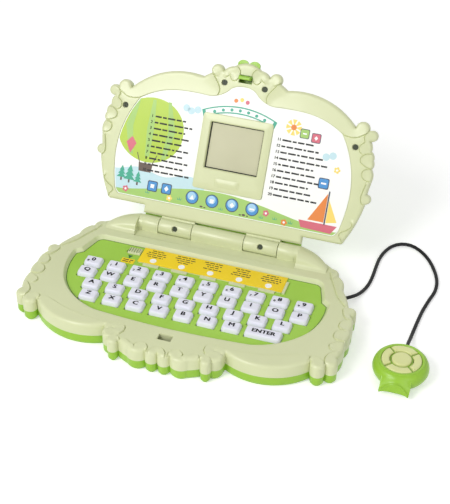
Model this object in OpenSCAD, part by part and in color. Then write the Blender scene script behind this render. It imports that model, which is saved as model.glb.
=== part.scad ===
// Toy laptop computer with a corded round mouse.
//
// Frame: +Z up, +Y towards the back, X = 0 in the plane of symmetry of base and lid.
// The origin lies on the desk, under the line where the open lid's face begins.
// The lid is drawn lying face up with the hinge axis as its X axis, then leant back.
// Outlines are lists of corners [x, y, bulge] for the half with x >= 0. The bulge bows
// the edge that starts at the corner: 0 is straight and 1 is a half circle outwards.

/* [Overall] */
// Width of the base across its side scrolls
base_w = 296; // [246:2:356]
// Depth of the base from the front crest to the straight back
base_d = 182; // [170:1:220]
// Height of the base at its rim
rim_z = 23.5; // [22.5:0.5:28]
// Height of the seam between the two halves of the base
seam_z = 10.5; // [9:0.5:11]

/* [Shells] */
// Wall thickness of every moulded shell
wall = 2.2; // [1.8:0.1:2.6]
// Step that eases the outer edges of base and lid
edge_step = 1.2; // [0.6:0.2:1.6]
// Step by which the bright lower and outer shells stand back from the pale ones
shell_step = 0.4; // [0:0.1:1]
// Height of the raised petals and scrolls on the rim and on the lid
petal_h = 1; // [0.6:0.1:1.2]
// Gap between pieces that move past each other
slip = 0.3; // [0.2:0.05:0.5]
// Radial running clearance of the hinge stubs
bore_gap = 0.05; // [0.02:0.01:0.1]

/* [Keys] */
// Drop from the rim to the key deck
deck_drop = 5; // [4:0.5:6]
// Thickness of the key deck
deck_t = 2; // [1.6:0.2:2.4]
// Height of a key cap above the deck
key_h = 4; // [3:0.5:4.5]
// Travel of a key
key_travel = 1.6; // [1:0.1:2]
// Gap between neighbouring keys in a row
key_gap_x = 5.5; // [4:0.5:7]
// Gap between the rows, at the foot of the keys
key_gap_y = 2.7; // [2.4:0.1:4]
// Draft of a key cap on each side
key_draft = 1; // [0.4:0.2:1.6]
// Width of the lip that holds a key under the deck
key_lip = 0.9; // [0.6:0.1:1]

/* [Lid] */
// Lean of the open lid, from lying flat backwards
lid_lean = 61; // [50:1:75]
// Depth of the pale inner frame of the lid
frame_t = 8; // [7:0.5:10]
// Depth of the bright outer cover of the lid
cover_t = 6.5; // [5:0.5:9]
// Gap between the closed lid and the rim
lid_gap = 0.3; // [0.2:0.1:1]
// Depth of the recess for the printed sheet
print_recess = 0.9; // [0.7:0.1:1.2]
// Thickness of the printed sheet
print_t = 0.5; // [0.3:0.1:0.8]
// Height of the small blank plate under the display window
plate_t = 0.3; // [0.2:0.1:0.5]
// Width of the display window
window_w = 51; // [44:1:56]
// Height of the display window
window_h = 43; // [36:1:50]
// Thickness of the display glass
glass_t = 1.6; // [1:0.2:2.4]

/* [Hinge] */
// Distance of the hinge axis from the desk's reference line, towards the front
hinge_back = 7; // [6:0.5:9]
// Height of the hinge axis above the rim
hinge_rise = 1.1; // [0.9:0.1:1.5]
// Depth of the channel left open in front of the shut lid's tongue
tongue_room = 2.8; // [0.5:0.1:3.5]
// Radius of the hinge barrel
barrel_r = 7.6; // [6.5:0.1:7.8]
// Radius of the hinge stubs
stub_r = 3; // [2:0.25:4]
// Length of a hinge stub
stub_l = 10.5; // [8:0.5:12]
// Width of a hinge arm
arm_w = 32.7; // [28:0.1:36]
// Distance of a hinge arm's middle from the plane of symmetry
arm_x = 41.6; // [38:0.2:46]

/* [Latch] */
// Width of the latch hook
hook_w = 10.5; // [8:0.5:12]
// Thickness of the latch hook
hook_t = 2.1; // [1.6:0.1:2.6]
// Overlap of the hook's nose with the catch hole's edge
hook_nose = 1.2; // [0.8:0.1:1.6]
// Travel of the latch
latch_travel = 2.6; // [2:0.1:3]

/* [Power slider] */
// Width of the ribbed slider knob
slider_w = 12.5; // [10:0.5:14]
// Depth of the ribbed slider knob
slider_d = 8.5; // [7:0.5:9]
// Travel of the slider
slider_travel = 4.5; // [3:0.5:5]

/* [Mouse] */
// Radius of the mouse body
mouse_r = 24; // [21:0.5:28]
// Height of the mouse at its buttons
mouse_h = 19; // [17:0.5:22]
// Radius of the round group of buttons
pad_r = 17; // [15:0.5:17.5]
// Radius of the middle button
pad_mid_r = 8.6; // [7:0.2:9]
// Gap between the mouse buttons
pad_gap = 1.2; // [0.8:0.1:1.6]
// Travel of a mouse button
pad_travel = 0.9; // [0.6:0.1:1.2]
// Diameter of the mouse cord
cord_d = 3.3; // [2.6:0.1:3.6]

/* [Hidden] */
eps = 0.01;
arc_step = 26;
// Nominal sizes for which the outlines below are written
nominal_w = 296;
nominal_d = 182;
sx = base_w / nominal_w;
sy = base_d / nominal_d;

pale = [0.85, 0.87, 0.70];
bright = [0.60, 0.80, 0.25];
dark = [0.10, 0.10, 0.11];

// Heights in the base, from the rim's petals down
rim_low = rim_z - petal_h;
shelf_z = rim_low - 1.9;
deck_z = rim_z - deck_drop;
deck_low = deck_z - deck_t;
key_top = deck_z + key_h;
lip_t = 1.5;
lip_gap = 0.2;
lip_top = deck_low - lip_gap;
lip_low = lip_top - lip_t;
membrane_t = 0.8;
membrane_top = lip_low - key_travel - lip_gap;
board_t = 1.6;
board_top = membrane_top - membrane_t;
board_low = board_top - board_t;
board_x = 106 * sx;
board_y0 = -127 * sy;
board_y1 = -62 * sy;
floor_t = 2;
plinth_z = 1.5;
plinth_inset = 2;
// How far the key well's wall slopes outwards on its way up
well_draft = 2;

// Hinge and lid frame
hinge_y = -hinge_back;
hinge_z = rim_z + hinge_rise;
face_w = hinge_rise - lid_gap;
lid_low = face_w - petal_h;
recess_w = lid_low - print_recess;
back_w = face_w - frame_t;
outer_w = back_w - cover_t;
barrel_gap = 0.6;
housing_r = barrel_r + barrel_gap + wall;
tongue_v = barrel_r + barrel_gap + 0.7;
tongue_h = 7;
lid_v = tongue_v + tongue_h;
tongue_x = 77 * sx;
barrel_x = tongue_x - 2.6;
block_x = tongue_x + 1;
strip_y = hinge_y - lid_v - slip - tongue_room;
// How far the outer cover reaches down beyond the tongue
cover_drop = 3;
// How far the petals stay back from the outline's eased edge
petal_margin = 0.7;

// Half outline of the base, from the middle of the front crest round to the back
base_half = [
    [0, -172.8, 0.70],
    [11, -172.8, 0.45],
    [27, -173.4, 0.05],
    [36.5, -168.6, 1.15],
    [46, -167.6, 0.40],
    [54, -158.5, 0],
    [54.4, -154.8, 0.36],
    [123.4, -141.2, 1.10],
    [136.2, -140.4, 0.95],
    [143.0, -130.0, 0.18],
    [145.2, -108.2, 0.22],
    [146.2, -92, 0.22],
    [142.2, -73.4, 0.95],
    [137.8, -62.4, 0.06],
    [127, -40, 0.30],
    [118.5, -22.5, 0.50],
    [111.5, -13.5, 0.06],
    [80, 5, 0],
    [0, 5, 0]
];

// Raised petals and scrolls of the base's right half, each from its inner edge round
// to corners outside the outline, which cuts it off
base_petals = [
    // long front petal
    [[39.6, -162.7], [36.6, -157.5], [36.8, -152.3], [40.4, -149.9], [54.5, -151.9], [80.4, -148.9],
     [98.8, -143.8], [115.4, -137.1], [120.6, -137], [122.6, -140.6], [123, -150], [90, -175],
     [56, -160], [51.9, -157.4], [46, -156.2], [42.4, -158.6]],
    // ear beside it
    [[35.6, -176], [35.7, -168.1], [39.9, -164.7], [45.1, -166.9], [47.8, -171], [46, -178]],
    // scroll, lobe and middle lobe of the crest
    [[20.8, -173.5], [21.4, -171], [25, -169.4], [29.4, -166.9], [33.6, -166], [35.2, -168.6], [34, -178],
     [22, -178]],
    [[10.4, -177], [9.8, -173.1], [10.2, -169.4], [13.3, -166.1], [17.5, -165.8], [20.8, -168.8],
     [20.4, -172.8], [20, -180], [12, -180]],
    [[-1, -166.5], [3.9, -168.6], [6.6, -172.5], [7.3, -177], [6, -182], [-1, -182]],
    // knob and curl at the front corner
    [[122.4, -141], [122.8, -137.4], [124.4, -135.6], [128.4, -136.1], [133.3, -138.7], [135.6, -141.6],
     [134, -152], [122.6, -150]],
    [[136.2, -141], [134.5, -133.3], [136.4, -128.3], [142.9, -121.6], [152, -121.6], [152, -141]],
    // scrolls up the side
    [[150, -121.3], [136.2, -121.3], [134.4, -118.5], [134.6, -115.4], [138.6, -112.2], [150, -111]],
    [[150, -108.3], [138.6, -108.5], [135.2, -106.3], [134.6, -101], [138, -96.4], [150, -95]],
    [[150, -94.2], [138.7, -93.8], [135.9, -91], [136.2, -85.5], [139.9, -81.6], [150, -80]],
    [[150, -79.4], [139.9, -79.4], [136.4, -75.6], [134.3, -69.2], [135.6, -65], [150, -65]],
    [[136.4, -64.6], [129.9, -58.4], [123.9, -50], [119.7, -41], [116, -32], [126, -24], [150, -60]]
];

// Half outline of the key well at deck level, from the middle of the front
well_half = [
    [0, -139.5, 0.02],
    [70, -136, 0.20],
    [111.5, -105, 0.14],
    [118.5, -65.5, 0],
    [113, -61, 0.02],
    [108, -44, 0.40],
    [101, -37.5, 0],
    [0, -37.5, 0]
];

// Half outline of the hollow inside the base, from the middle of the front
base_hollow_half = [
    [0, -168, 0],
    [40, -166, 0],
    [56, -150, 0.26],
    [124, -136, 0],
    [138.5, -134, 0],
    [142, -108, 0],
    [142, -92, 0],
    [138.6, -74, 0],
    [138.6, -68, 0],
    [121, -32, 0.10],
    [108.5, -14, 0],
    [78, 2.4, 0],
    [0, 2.4, 0]
];

// Half outline of the lid above the line where its face begins, from the hinge tongue
lid_half = [
    [0, -tongue_h, 0],
    [77, -tongue_h, 0],
    [77, 0, 0],
    [112.5, 0, 0.35],
    [115, 2.6, 0.08],
    [128.2, 40.2, 0.95],
    [128.2, 49.4, 0],
    [130.4, 63, 0.22],
    [128.3, 72.2, 0.32],
    [128.5, 80, 0.32],
    [125.2, 88, 0.28],
    [122.8, 96.6, 1.60],
    [120, 105.4, 1.15],
    [107.6, 106.6, 0.26],
    [39.8, 128.4, 0.05],
    [32.8, 132.8, 1.25],
    [22, 136.4, 0.25],
    [12.6, 142, 0.173],
    [0, 146.5, 0]
];

// Half outline of the hollow inside the lid, from the middle of the lower edge
lid_hollow_half = [
    [0, 3, 0],
    [111, 3, 0],
    [125, 41, 0],
    [125.6, 60, 0],
    [124, 78, 0],
    [119.6, 97, 0.10],
    [106, 103.4, 0.25],
    [38, 125, 0],
    [27, 135, 0],
    [11, 139, 0],
    [0, 143, 0]
];

// Half outline of the printed sheet on the lid
print_half = [
    [0, 6, 0],
    [104, 6, 0.20],
    [109, 12, 0.05],
    [113.4, 42, 0.16],
    [97, 99, 0.14],
    [58, 112.2, 0.03],
    [32, 112, -0.22],
    [12, 121.5, 0.18],
    [0, 125, 0]
];

// Raised petals and scrolls of the lid's right half, as on the base
lid_petals = [
    // long top petal
    [[120, 105.6], [116.1, 102.2], [111.2, 99.2], [106, 98], [99.4, 98.9], [84.4, 105.1], [70, 109.3],
     [55.3, 112.2], [28.4, 111.6], [24.6, 113.4], [23, 117], [23.6, 121], [29.9, 130.1], [34, 134],
     [60, 140], [118, 118]],
    // lobe beside the latch and scroll outside it
    [[14.5, 135], [13.7, 131.5], [11.3, 129.6], [8.6, 130.5], [7.4, 134], [7.4, 138], [8.4, 141], [11.4, 148],
     [16, 148]],
    [[32, 132.6], [30, 132.2], [25.6, 130.3], [20.6, 130.4], [16.8, 133.2], [15, 135.4], [16.4, 146], [36, 146]],
    // scrolls down the side
    [[120, 84.6], [115.7, 86.4], [115, 91.3], [118.6, 95.5], [117.4, 100.3], [120.3, 105.2], [134, 108],
     [134, 86]],
    [[128, 73.6], [123.5, 74.3], [118.6, 77], [117.8, 81], [121, 84.3], [134, 85.6], [134, 73]],
    [[128.3, 61.8], [123.5, 63], [121.2, 66.5], [122.6, 70.6], [128, 72.6], [135, 72.6], [135, 61.4]],
    [[130.5, 40], [126.3, 40.4], [124.2, 43.8], [124.3, 47.5], [125.5, 54], [127.2, 61], [136, 61], [136, 40]],
    [[113.6, 1], [112.8, 5.5], [110.8, 8.5], [112, 11], [116.3, 13.5], [120.2, 17.2], [120.9, 20.3],
     [118.5, 23.4], [128, 26], [124, 0]]
];

// Frame around the display, on the lid
bezel_x = 33.5;
bezel_low = 26;
bezel_high = 96.5;
bezel_corner = 2.5;
plate_x = [-13, 10.5];
plate_v = [30, 38];
window_mid = 67.5;
screw_spots = [[19.2, 126], [110.5, 89.5]];
screw_head_r = 3.3;
screw_head_depth = 1.8;
pilot_r = 1.3;

// Latch place on the lid, and the catch hole that it drops into when the lid shuts
hook_v = lid_v + 131.6 * sy;
catch_y = hinge_y - hook_v - hook_t / 2;
catch_half_x = hook_w / 2 + 0.8;
catch_front = hook_t / 2 + slip;
catch_back = hook_t / 2 + latch_travel + 2.4;

// Key rows: label letters, x of the first key and row number, from the back
row_keys = ["0123456789", "QWERTYUIOP", "ASDFGHJKL", "ZXCVBNM"];
row_x = [-98, -98, -87.3, -84];
row_front = -74;
row_pitch = 15.2 * sy;
key_pitch = 22 * sx;
key_w = key_pitch - key_gap_x;
key_d = row_pitch - key_gap_y;
key_front = 3;
key_back = 1.4;
key_sag = 0.25;
enter_x = 76.5 * sx;
enter_w = 1.5 * key_pitch - 0.5;

// Mode card and the power slider, on the deck behind the keys
card_x0 = -61 * sx;
card_x1 = 76 * sx;
card_y0 = -60 * sy;
card_y1 = -38.2 * sy;
card_t = 0.8;
tray_t = 0.6;
tab_w = 15;
tab_l = 3.4;
slider_x = card_x0 - slider_w / 2 - 1;
slider_y = -46.5 * sy;
slider_h = 2.6;

// Battery bay behind the keyboard
bay_x = 79;
bay_y0 = -36 * sy;
bay_y1 = hinge_y - housing_r - wall - slip;
bay_top = 16;

// Mouse place and the cord's route over the desk
mouse_x = base_w / 2 + 46.2;
mouse_y = -110;
mouse_seam = 7;
pad_floor = mouse_h - 5;
cord_points = [
    [121, -38, 6], [126, -34.5, 6], [131.5, -29, 5.2], [136.5, -21.5, 3.4], [140.5, -12, 2],
    [143.2, -1, 1.65], [144.2, 12, 1.65], [144.2, 26, 1.65], [144.5, 40, 1.65], [147, 53, 1.65],
    [152, 64, 1.65], [159.5, 70.3, 1.65], [168.5, 71.3, 1.65], [178, 66.5, 1.65], [188, 56, 1.65],
    [196.5, 41, 1.65], [202, 25, 1.65], [203, 10, 1.65], [200, -6, 1.65], [197.3, -22, 1.65],
    [195.8, -38, 1.65], [194.8, -53, 2], [194.4, -63, 3.4], [194.2, -72, 6], [194.2, -80, 8.6],
    [194.2, -87.5, 9.6]
];
// The route follows the base's edge and the mouse when the base's width changes
cord_route = [for (p = cord_points)
    [p[0] + (base_w - nominal_w) * min(0.5, p[0] / nominal_w), p[1], p[2]]];
cord_sides = 8;

pad_names = ["right", "back", "left", "front", "middle"];

// ---- outlines -------------------------------------------------------------

// Points of the edge from p to q, bowed outwards by its bulge, without q itself
function edge_points(p, q, bulge) =
    abs(bulge) < 0.01 ? [[p[0], p[1]]] :
    let (d = [q[0] - p[0], q[1] - p[1]],
         half = norm(d) / 2,
         sweep = 4 * atan(bulge),
         mid = [(p[0] + q[0]) / 2, (p[1] + q[1]) / 2],
         centre = mid + [-d[1], d[0]] / (2 * half) * half / tan(sweep / 2),
         radius = half / abs(sin(sweep / 2)),
         start = atan2(p[1] - centre[1], p[0] - centre[0]),
         n = max(2, ceil(abs(sweep) / arc_step)))
    [for (i = [0 : n - 1]) centre + radius * [cos(start + sweep * i / n), sin(start + sweep * i / n)]];

// Whole outline from the corners of its half, mirrored in the plane x = 0
function outline(half, kx = 1, ky = 1) =
    let (n = len(half),
         right = [for (i = [0 : n - 2]) each edge_points(half[i], half[i + 1], half[i][2])],
         last = [half[n - 1][0], half[n - 1][1]],
         m = len(right),
         left = [for (i = [m - 1 : -1 : 1]) [-right[i][0], right[i][1]]])
    [for (p = concat(right, [last], left)) [p[0] * kx, p[1] * ky]];

// Outline moved inwards by d, corner by corner; a negative d moves it outwards
function inset(points, d) =
    let (n = len(points))
    [for (i = [0 : n - 1])
        let (a = points[(i + n - 1) % n],
             b = points[i],
             c = points[(i + 1) % n],
             u = (b - a) / norm(b - a),
             v = (c - b) / norm(c - b),
             nu = [-u[1], u[0]],
             nv = [-v[1], v[0]],
             k = max(0.35, 1 + nu * nv))
        b + (nu + nv) * d / k];

// Closed line through corners [x, y, bulge]
function closed_line(corners) =
    let (n = len(corners))
    [for (i = [0 : n - 1]) each edge_points(corners[i], corners[(i + 1) % n], corners[i][2])];

quarter = 0.414;
function round_rectangle(x0, x1, y0, y1, r) = closed_line([
    [x0 + r, y0, 0], [x1 - r, y0, quarter], [x1, y0 + r, 0], [x1, y1 - r, quarter],
    [x1 - r, y1, 0], [x0 + r, y1, quarter], [x0, y1 - r, 0], [x0, y0 + r, quarter]
]);

function at_height(points, z) = [for (p = points) [p[0], p[1], z]];
function moved(points, d) = [for (p = points) p + d];

// Solid through a stack of rings with equal numbers of points, from the bottom up
module loft(rings) {
    n = len(rings[0]);
    top = (len(rings) - 1) * n;
    sides = [for (k = [0 : len(rings) - 2]) for (i = [0 : n - 1])
        let (j = (i + 1) % n)
        each [[k * n + i, k * n + n + i, k * n + n + j], [k * n + i, k * n + n + j, k * n + j]]];
    caps = [[for (i = [0 : n - 1]) i], [for (i = [n - 1 : -1 : 0]) top + i]];
    polyhedron([for (r = rings) each r], concat(caps, sides));
}

// Prism of an outline, with its top edge eased by one step
module eased_prism(points, z0, z1) {
    prism(points, z0, z1 - edge_step);
    prism(inset(points, edge_step), z1 - edge_step - eps, z1);
}

module prism(points, z0, z1) {
    translate([0, 0, z0])
        linear_extrude(z1 - z0)
            polygon(points);
}

// Raised petals of both halves, cut off by the outline's eased edge
module petals(shapes, shift, line, z0, z1) {
    intersection() {
        mirrored() for (s = shapes)
            prism([for (p = s) [p[0] * sx, p[1] * sy + shift]], z0, z1);
        prism(inset(line, edge_step + petal_margin), z0, z1);
    }
}

module block(x0, x1, y0, y1, z0, z1) {
    translate([x0, y0, z0])
        cube([x1 - x0, y1 - y0, z1 - z0]);
}

module mirrored() {
    children();
    mirror([1, 0, 0])
        children();
}

module along_x(x0, x1, r) {
    translate([x0, 0, 0])
        rotate([0, 90, 0])
            cylinder(r = r, h = x1 - x0, $fn = 64);
}

base_line = outline(base_half, sx, sy);
well_line = outline(well_half, sx, sy);
print_line = moved(outline(print_half, sx, sy), [0, lid_v]);
// Outline of the lid with its tongue reaching the given depth below the lid's lower edge
function lid_outline(tongue) =
    moved(outline([for (p = lid_half) [p[0], p[1] < 0 ? -tongue / sy : p[1], p[2]]], sx, sy), [0, lid_v]);
lid_line = lid_outline(tongue_h);
cover_line = lid_outline(tongue_h + cover_drop);
base_hollow = outline(base_hollow_half, sx, sy);
lid_hollow = moved(outline(lid_hollow_half, sx, sy), [0, lid_v]);

// ---- base -----------------------------------------------------------------

module hinge_place() {
    translate([0, hinge_y, hinge_z])
        children();
}

// Raised shoulder beside the hinge barrel, sloping down outwards
module hinge_shoulder() {
    foot = strip_y + 0.4;
    edge = hinge_y - lid_v;
    low = rim_low - 1.2;
    inner = [[1.8, low], [1.2, rim_z + 3], [-2, rim_z + 7], [-7, rim_z + 8.6], [-12, rim_z + 7.6],
             [-17, rim_z + 4.5], [edge, rim_z + 0.6], [foot, rim_low], [foot, low]];
    outer = [[-15.2, low], [-15.6, rim_low + 0.2], [-16.6, rim_low + 1.2], [-18, rim_low + 1.5],
             [-19.4, rim_low + 1.4], [-21, rim_low + 1.1], [edge, rim_low + 0.7],
             [foot, rim_low - 0.4], [foot, low]];
    loft([for (end = [[block_x, inner], [107 * sx, outer]])
        [for (p = end[1]) [end[0], p[0], p[1]]]]);
}

module base_top() {
    color(pale) {
        difference() {
            union() {
                difference() {
                    union() {
                        eased_prism(base_line, seam_z, rim_low);
                        petals(base_petals, 0, base_line, rim_low - eps, rim_z);
                    }
                    // hollow up to the deck, and up to the rim round the well's wall
                    prism(base_hollow, seam_z - 1, deck_z);
                    difference() {
                        prism(base_hollow, deck_z - eps, rim_low - wall);
                        prism(inset(well_line, -well_draft - wall), deck_z - 1, rim_z);
                        block(-base_w, base_w, bay_y0, 20, deck_z - 1, rim_z);
                    }
                }
                block(-block_x, block_x, hinge_y - housing_r, 4, hinge_z - housing_r, rim_low);
                mirrored() hinge_shoulder();
                hinge_place() along_x(-barrel_x, barrel_x, barrel_r);
                block(-barrel_x, barrel_x, hinge_y - barrel_r, hinge_y, shelf_z - 1, hinge_z);
            }
            // key well with sloping walls
            loft([at_height(well_line, deck_z - 1), at_height(well_line, deck_z),
                  at_height(inset(well_line, -well_draft), rim_z),
                  at_height(inset(well_line, -well_draft), rim_z + 20)]);
            // strip in which the lid's tongue lies when the lid is shut
            block(-tongue_x - slip, tongue_x + slip, strip_y, hinge_y - barrel_r, shelf_z, rim_z + 20);
            // slots between the barrel and its shoulders
            mirrored() block(barrel_x, block_x, hinge_y - barrel_r - 1, hinge_y + barrel_r + 1,
                             shelf_z, rim_z + 20);
            // pockets for the lid's hinge arms
            mirrored() translate([arm_x, 0, 0]) {
                hinge_place() along_x(-arm_w / 2 - slip, arm_w / 2 + slip, barrel_r + barrel_gap);
                block(-arm_w / 2 - slip, arm_w / 2 + slip, hinge_y - barrel_r - 2,
                      hinge_y + barrel_r + 2, hinge_z, hinge_z + 20);
                block(-arm_w / 2 - slip, arm_w / 2 + slip, hinge_y - barrel_r - 2, hinge_y,
                      shelf_z, hinge_z + 1);
            }
            // catch hole for the latch hook
            block(-catch_half_x, catch_half_x, catch_y - catch_front, catch_y + catch_back,
                  seam_z - 1, rim_z + 1);
            // way out of the mouse cord
            cord_hole();
        }
        hinge_stubs();
    }
}

module hinge_stubs() {
    mirrored() hinge_place() {
        along_x(arm_x - arm_w / 2 - slip - 1, arm_x - arm_w / 2 + stub_l, stub_r);
        along_x(arm_x + arm_w / 2 - stub_l, arm_x + arm_w / 2 + slip + 1, stub_r);
    }
}

module cord_hole() {
    a = cord_route[0];
    b = cord_route[1];
    d = b - a;
    translate(a - 2 * d)
        rotate([0, acos(d[2] / norm(d)), atan2(d[1], d[0])])
            cylinder(d = cord_d + 0.4, h = 5 * norm(d), $fn = 32);
}

deck_posts = [[115.5, -78], [62, -133]];
post_r = 5;
rest_r = 3;
board_rests = [[30, -66], [90, -66], [30, -122], [86, -110]];

module base_bottom() {
    color(bright)
        difference() {
            union() {
                difference() {
                    union() {
                        prism(inset(base_line, plinth_inset), 0, plinth_z + eps);
                        prism(inset(base_line, shell_step), plinth_z, seam_z);
                    }
                    prism(base_hollow, floor_t, seam_z + 1);
                }
                // battery bay, posts under the deck and rests under the circuit board
                block(-bay_x - wall, bay_x + wall, bay_y0 - wall, bay_y1 + wall, 1, bay_top);
                mirrored() for (p = deck_posts)
                    translate([p[0] * sx, p[1] * sy, 1])
                        cylinder(r = post_r, h = deck_low - 1, $fn = 32);
                mirrored() for (p = board_rests)
                    translate([p[0] * sx, p[1] * sy, 1])
                        cylinder(r = rest_r, h = board_low - 1, $fn = 32);
            }
            block(-bay_x, bay_x, bay_y0, bay_y1, -1, bay_top - wall);
            block(-bay_x - 1, bay_x + 1, bay_y0 - 1, bay_y1 + 1, -1, floor_t);
            mirrored() for (p = deck_posts)
                translate([p[0] * sx, p[1] * sy, -1]) {
                    cylinder(r = pilot_r, h = deck_low + 2, $fn = 32);
                    cylinder(r = screw_head_r, h = 4, $fn = 32);
                }
            // speaker slots
            for (i = [-2 : 2])
                block(speaker_x - 11 + abs(i) * 2, speaker_x + 11 - abs(i) * 2,
                      speaker_y + i * 4.4 - 0.9, speaker_y + i * 4.4 + 0.9, -1, floor_t + 1);
            cord_hole();
        }
}

speaker_x = 58 * sx;
speaker_y = -96 * sy;

module battery_door() {
    color(bright) {
        block(-bay_x - 1 + slip, bay_x + 1 - slip, bay_y0 - 1 + slip, bay_y1 + 1 - slip, 0, floor_t - 0.2);
        // ribs that hold the batteries
        mirrored() for (x = [12, 40, 68])
            block(x - 6, x + 6, bay_y0 + slip, bay_y1 - slip, floor_t - 0.2 - eps, floor_t + 1);
    }
}

module circuit_board() {
    color([0.16, 0.42, 0.22])
        block(-board_x, board_x, board_y0, board_y1, board_low, board_top);
    color(dark)
        translate([speaker_x, speaker_y, floor_t]) {
            cylinder(r = 14, h = 3, $fn = 48);
            translate([0, 0, 3 - eps])
                cylinder(r = 7, h = min(3, board_low - floor_t - 3.5), $fn = 48);
        }
}

module key_membrane() {
    color([0.82, 0.84, 0.86])
        block(-board_x, board_x, board_y0, board_y1, board_top, membrane_top);
}

// ---- keyboard -------------------------------------------------------------

// Middle of key number i in row r; the Enter key is the last in the front row
function key_place(r, i) = [(row_x[r] + 22 * i) * sx, row_front * sy - r * row_pitch];

// Ring of a key cap with wide front corners, narrow back ones and a slightly bowed front
function key_ring(w, d, front, back, z) =
    let (bow = 2 * key_sag / (w - 2 * front),
         y = key_sag - d / 2)
    at_height(closed_line([
        [-w / 2 + front, y, bow], [w / 2 - front, y, quarter], [w / 2, y + front, 0],
        [w / 2, d / 2 - back, quarter], [w / 2 - back, d / 2, 0], [-w / 2 + back, d / 2, quarter],
        [-w / 2, d / 2 - back, 0], [-w / 2, y + front, quarter]
    ]), z);

// Key cap with its collar through the deck and the lip that holds it from below
module key_cap(place, w) {
    crown = 0.5;
    color([0.93, 0.93, 0.96])
        translate([place[0], place[1], 0]) {
            loft([
                key_ring(w, key_d, key_front, key_back, lip_top - eps),
                key_ring(w, key_d, key_front, key_back, deck_z + 0.5),
                key_ring(w - 2 * key_draft, key_d - 2 * key_draft, key_front, key_back, key_top - crown),
                key_ring(w - 2 * key_draft - 1.4, key_d - 2 * key_draft - 1.4, key_front, key_back, key_top)
            ]);
            block(-w / 2 - key_lip, w / 2 + key_lip, -key_d / 2 - key_lip, key_d / 2 + key_lip,
                  lip_low, lip_top);
        }
}

module key_hole(place, w) {
    x = w / 2 + slip;
    y = key_d / 2 + slip;
    translate([place[0], place[1], 0])
        block(-x, x, -y, y, deck_low - 1, deck_z + 1);
}

module key_deck() {
    color(bright)
        difference() {
            prism(inset(well_line, -1.6), deck_low, deck_z);
            for (r = [0 : 3])
                for (i = [0 : len(row_keys[r]) - 1])
                    key_hole(key_place(r, i), key_w);
            key_hole([enter_x, key_place(3, 0)[1]], enter_w);
            block(slider_x - slider_travel - 3.2, slider_x + 3.2, slider_y - 2.2, slider_y + 2.2,
                  deck_low - 1, deck_z + 1);
        }
}

module power_slider() {
    ribs = 4;
    color(pale)
        translate([slider_x, slider_y, 0]) {
            difference() {
                loft([
                    key_ring(slider_w, slider_d, 0.8, 0.8, deck_z + 0.15),
                    key_ring(slider_w, slider_d, 0.8, 0.8, deck_z + 1.2),
                    key_ring(slider_w - 1.6, slider_d - 1.6, 0.8, 0.8, deck_z + slider_h)
                ]);
                for (i = [0 : ribs - 1])
                    block((i - ribs / 2 + 0.1) * 2.4, (i - ribs / 2 + 0.6) * 2.4, -slider_d, slider_d,
                          deck_z + slider_h - 0.7, deck_z + slider_h + 1);
            }
            block(-2.9, 2.9, -1.9, 1.9, deck_low - 0.2 - eps, deck_z + 0.15 + eps);
            block(-4.4, 4.4, -3.4, 3.4, deck_low - 1.4, deck_low - 0.2);
        }
}

module card_tray() {
    pitch = (card_x1 - card_x0) / 5;
    color(pale) {
        block(card_x0 + 1, card_x1 - 1, card_y0, card_y1, deck_z, deck_z + tray_t);
        for (i = [0 : 4])
            block(card_x0 + pitch * (i + 0.5) - tab_w / 2, card_x0 + pitch * (i + 0.5) + tab_w / 2,
                  card_y0 - tab_l, card_y0 + eps, deck_z, deck_z + tray_t + 0.6);
        block(card_x1 + 0.2, card_x1 + 2.6, card_y0 - 1, card_y1 - 6, deck_z, deck_z + tray_t + 1);
    }
}

module mode_card() {
    color([0.97, 0.80, 0.08])
        block(card_x0, card_x1, card_y0 + 0.2, card_y1, deck_z + tray_t, deck_z + tray_t + card_t);
}

// ---- lid ------------------------------------------------------------------

module lid_pose() {
    translate([0, hinge_y, hinge_z])
        rotate([lid_lean, 0, 0])
            children();
}

// Arm from the lid's tongue round the back half of the hinge stubs
module hinge_arm() {
    x0 = arm_x - arm_w / 2;
    x1 = arm_x + arm_w / 2;
    difference() {
        union() {
            along_x(x0, x1, barrel_r);
            block(x0, x1, 0, tongue_v + 1, back_w, lid_low);
        }
        block(x0 - 1, x1 + 1, -barrel_r - 1, barrel_r - 0.6, 0, barrel_r + 1);
        hinge_bores();
        translate([arm_x, 0, -barrel_r - 1])
            cylinder(r = pilot_r, h = barrel_r + 2, $fn = 32);
    }
}

module hinge_bores() {
    x0 = arm_x - arm_w / 2;
    x1 = arm_x + arm_w / 2;
    along_x(x0 - 1, x0 + stub_l + 0.5, stub_r + bore_gap);
    along_x(x1 - stub_l - 0.5, x1 + 1, stub_r + bore_gap);
}

module hinge_covers() {
    x0 = arm_x - arm_w / 2;
    x1 = arm_x + arm_w / 2;
    color(pale)
        lid_pose() mirrored() difference() {
            intersection() {
                along_x(x0, x1, barrel_r);
                block(x0 - 1, x1 + 1, -barrel_r - 1, barrel_r - 0.7, eps, barrel_r + 1);
            }
            hinge_bores();
            translate([arm_x, 0, -1])
                cylinder(r = pilot_r + 0.4, h = barrel_r + 2, $fn = 32);
            translate([arm_x, 0, barrel_r - 2.4])
                cylinder(r = screw_head_r - 0.4, h = barrel_r, $fn = 32);
        }
}

// Raised frame round the display window, with a small blank plate below the window
module bezel() {
    prism(round_rectangle(-bezel_x, bezel_x, lid_v + bezel_low * sy, lid_v + bezel_high * sy, bezel_corner),
          recess_w - eps, face_w);
    prism(round_rectangle(plate_x[0], plate_x[1], lid_v + plate_v[0] * sy, lid_v + plate_v[1] * sy, 0.8),
          face_w - eps, face_w + plate_t);
}

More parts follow.
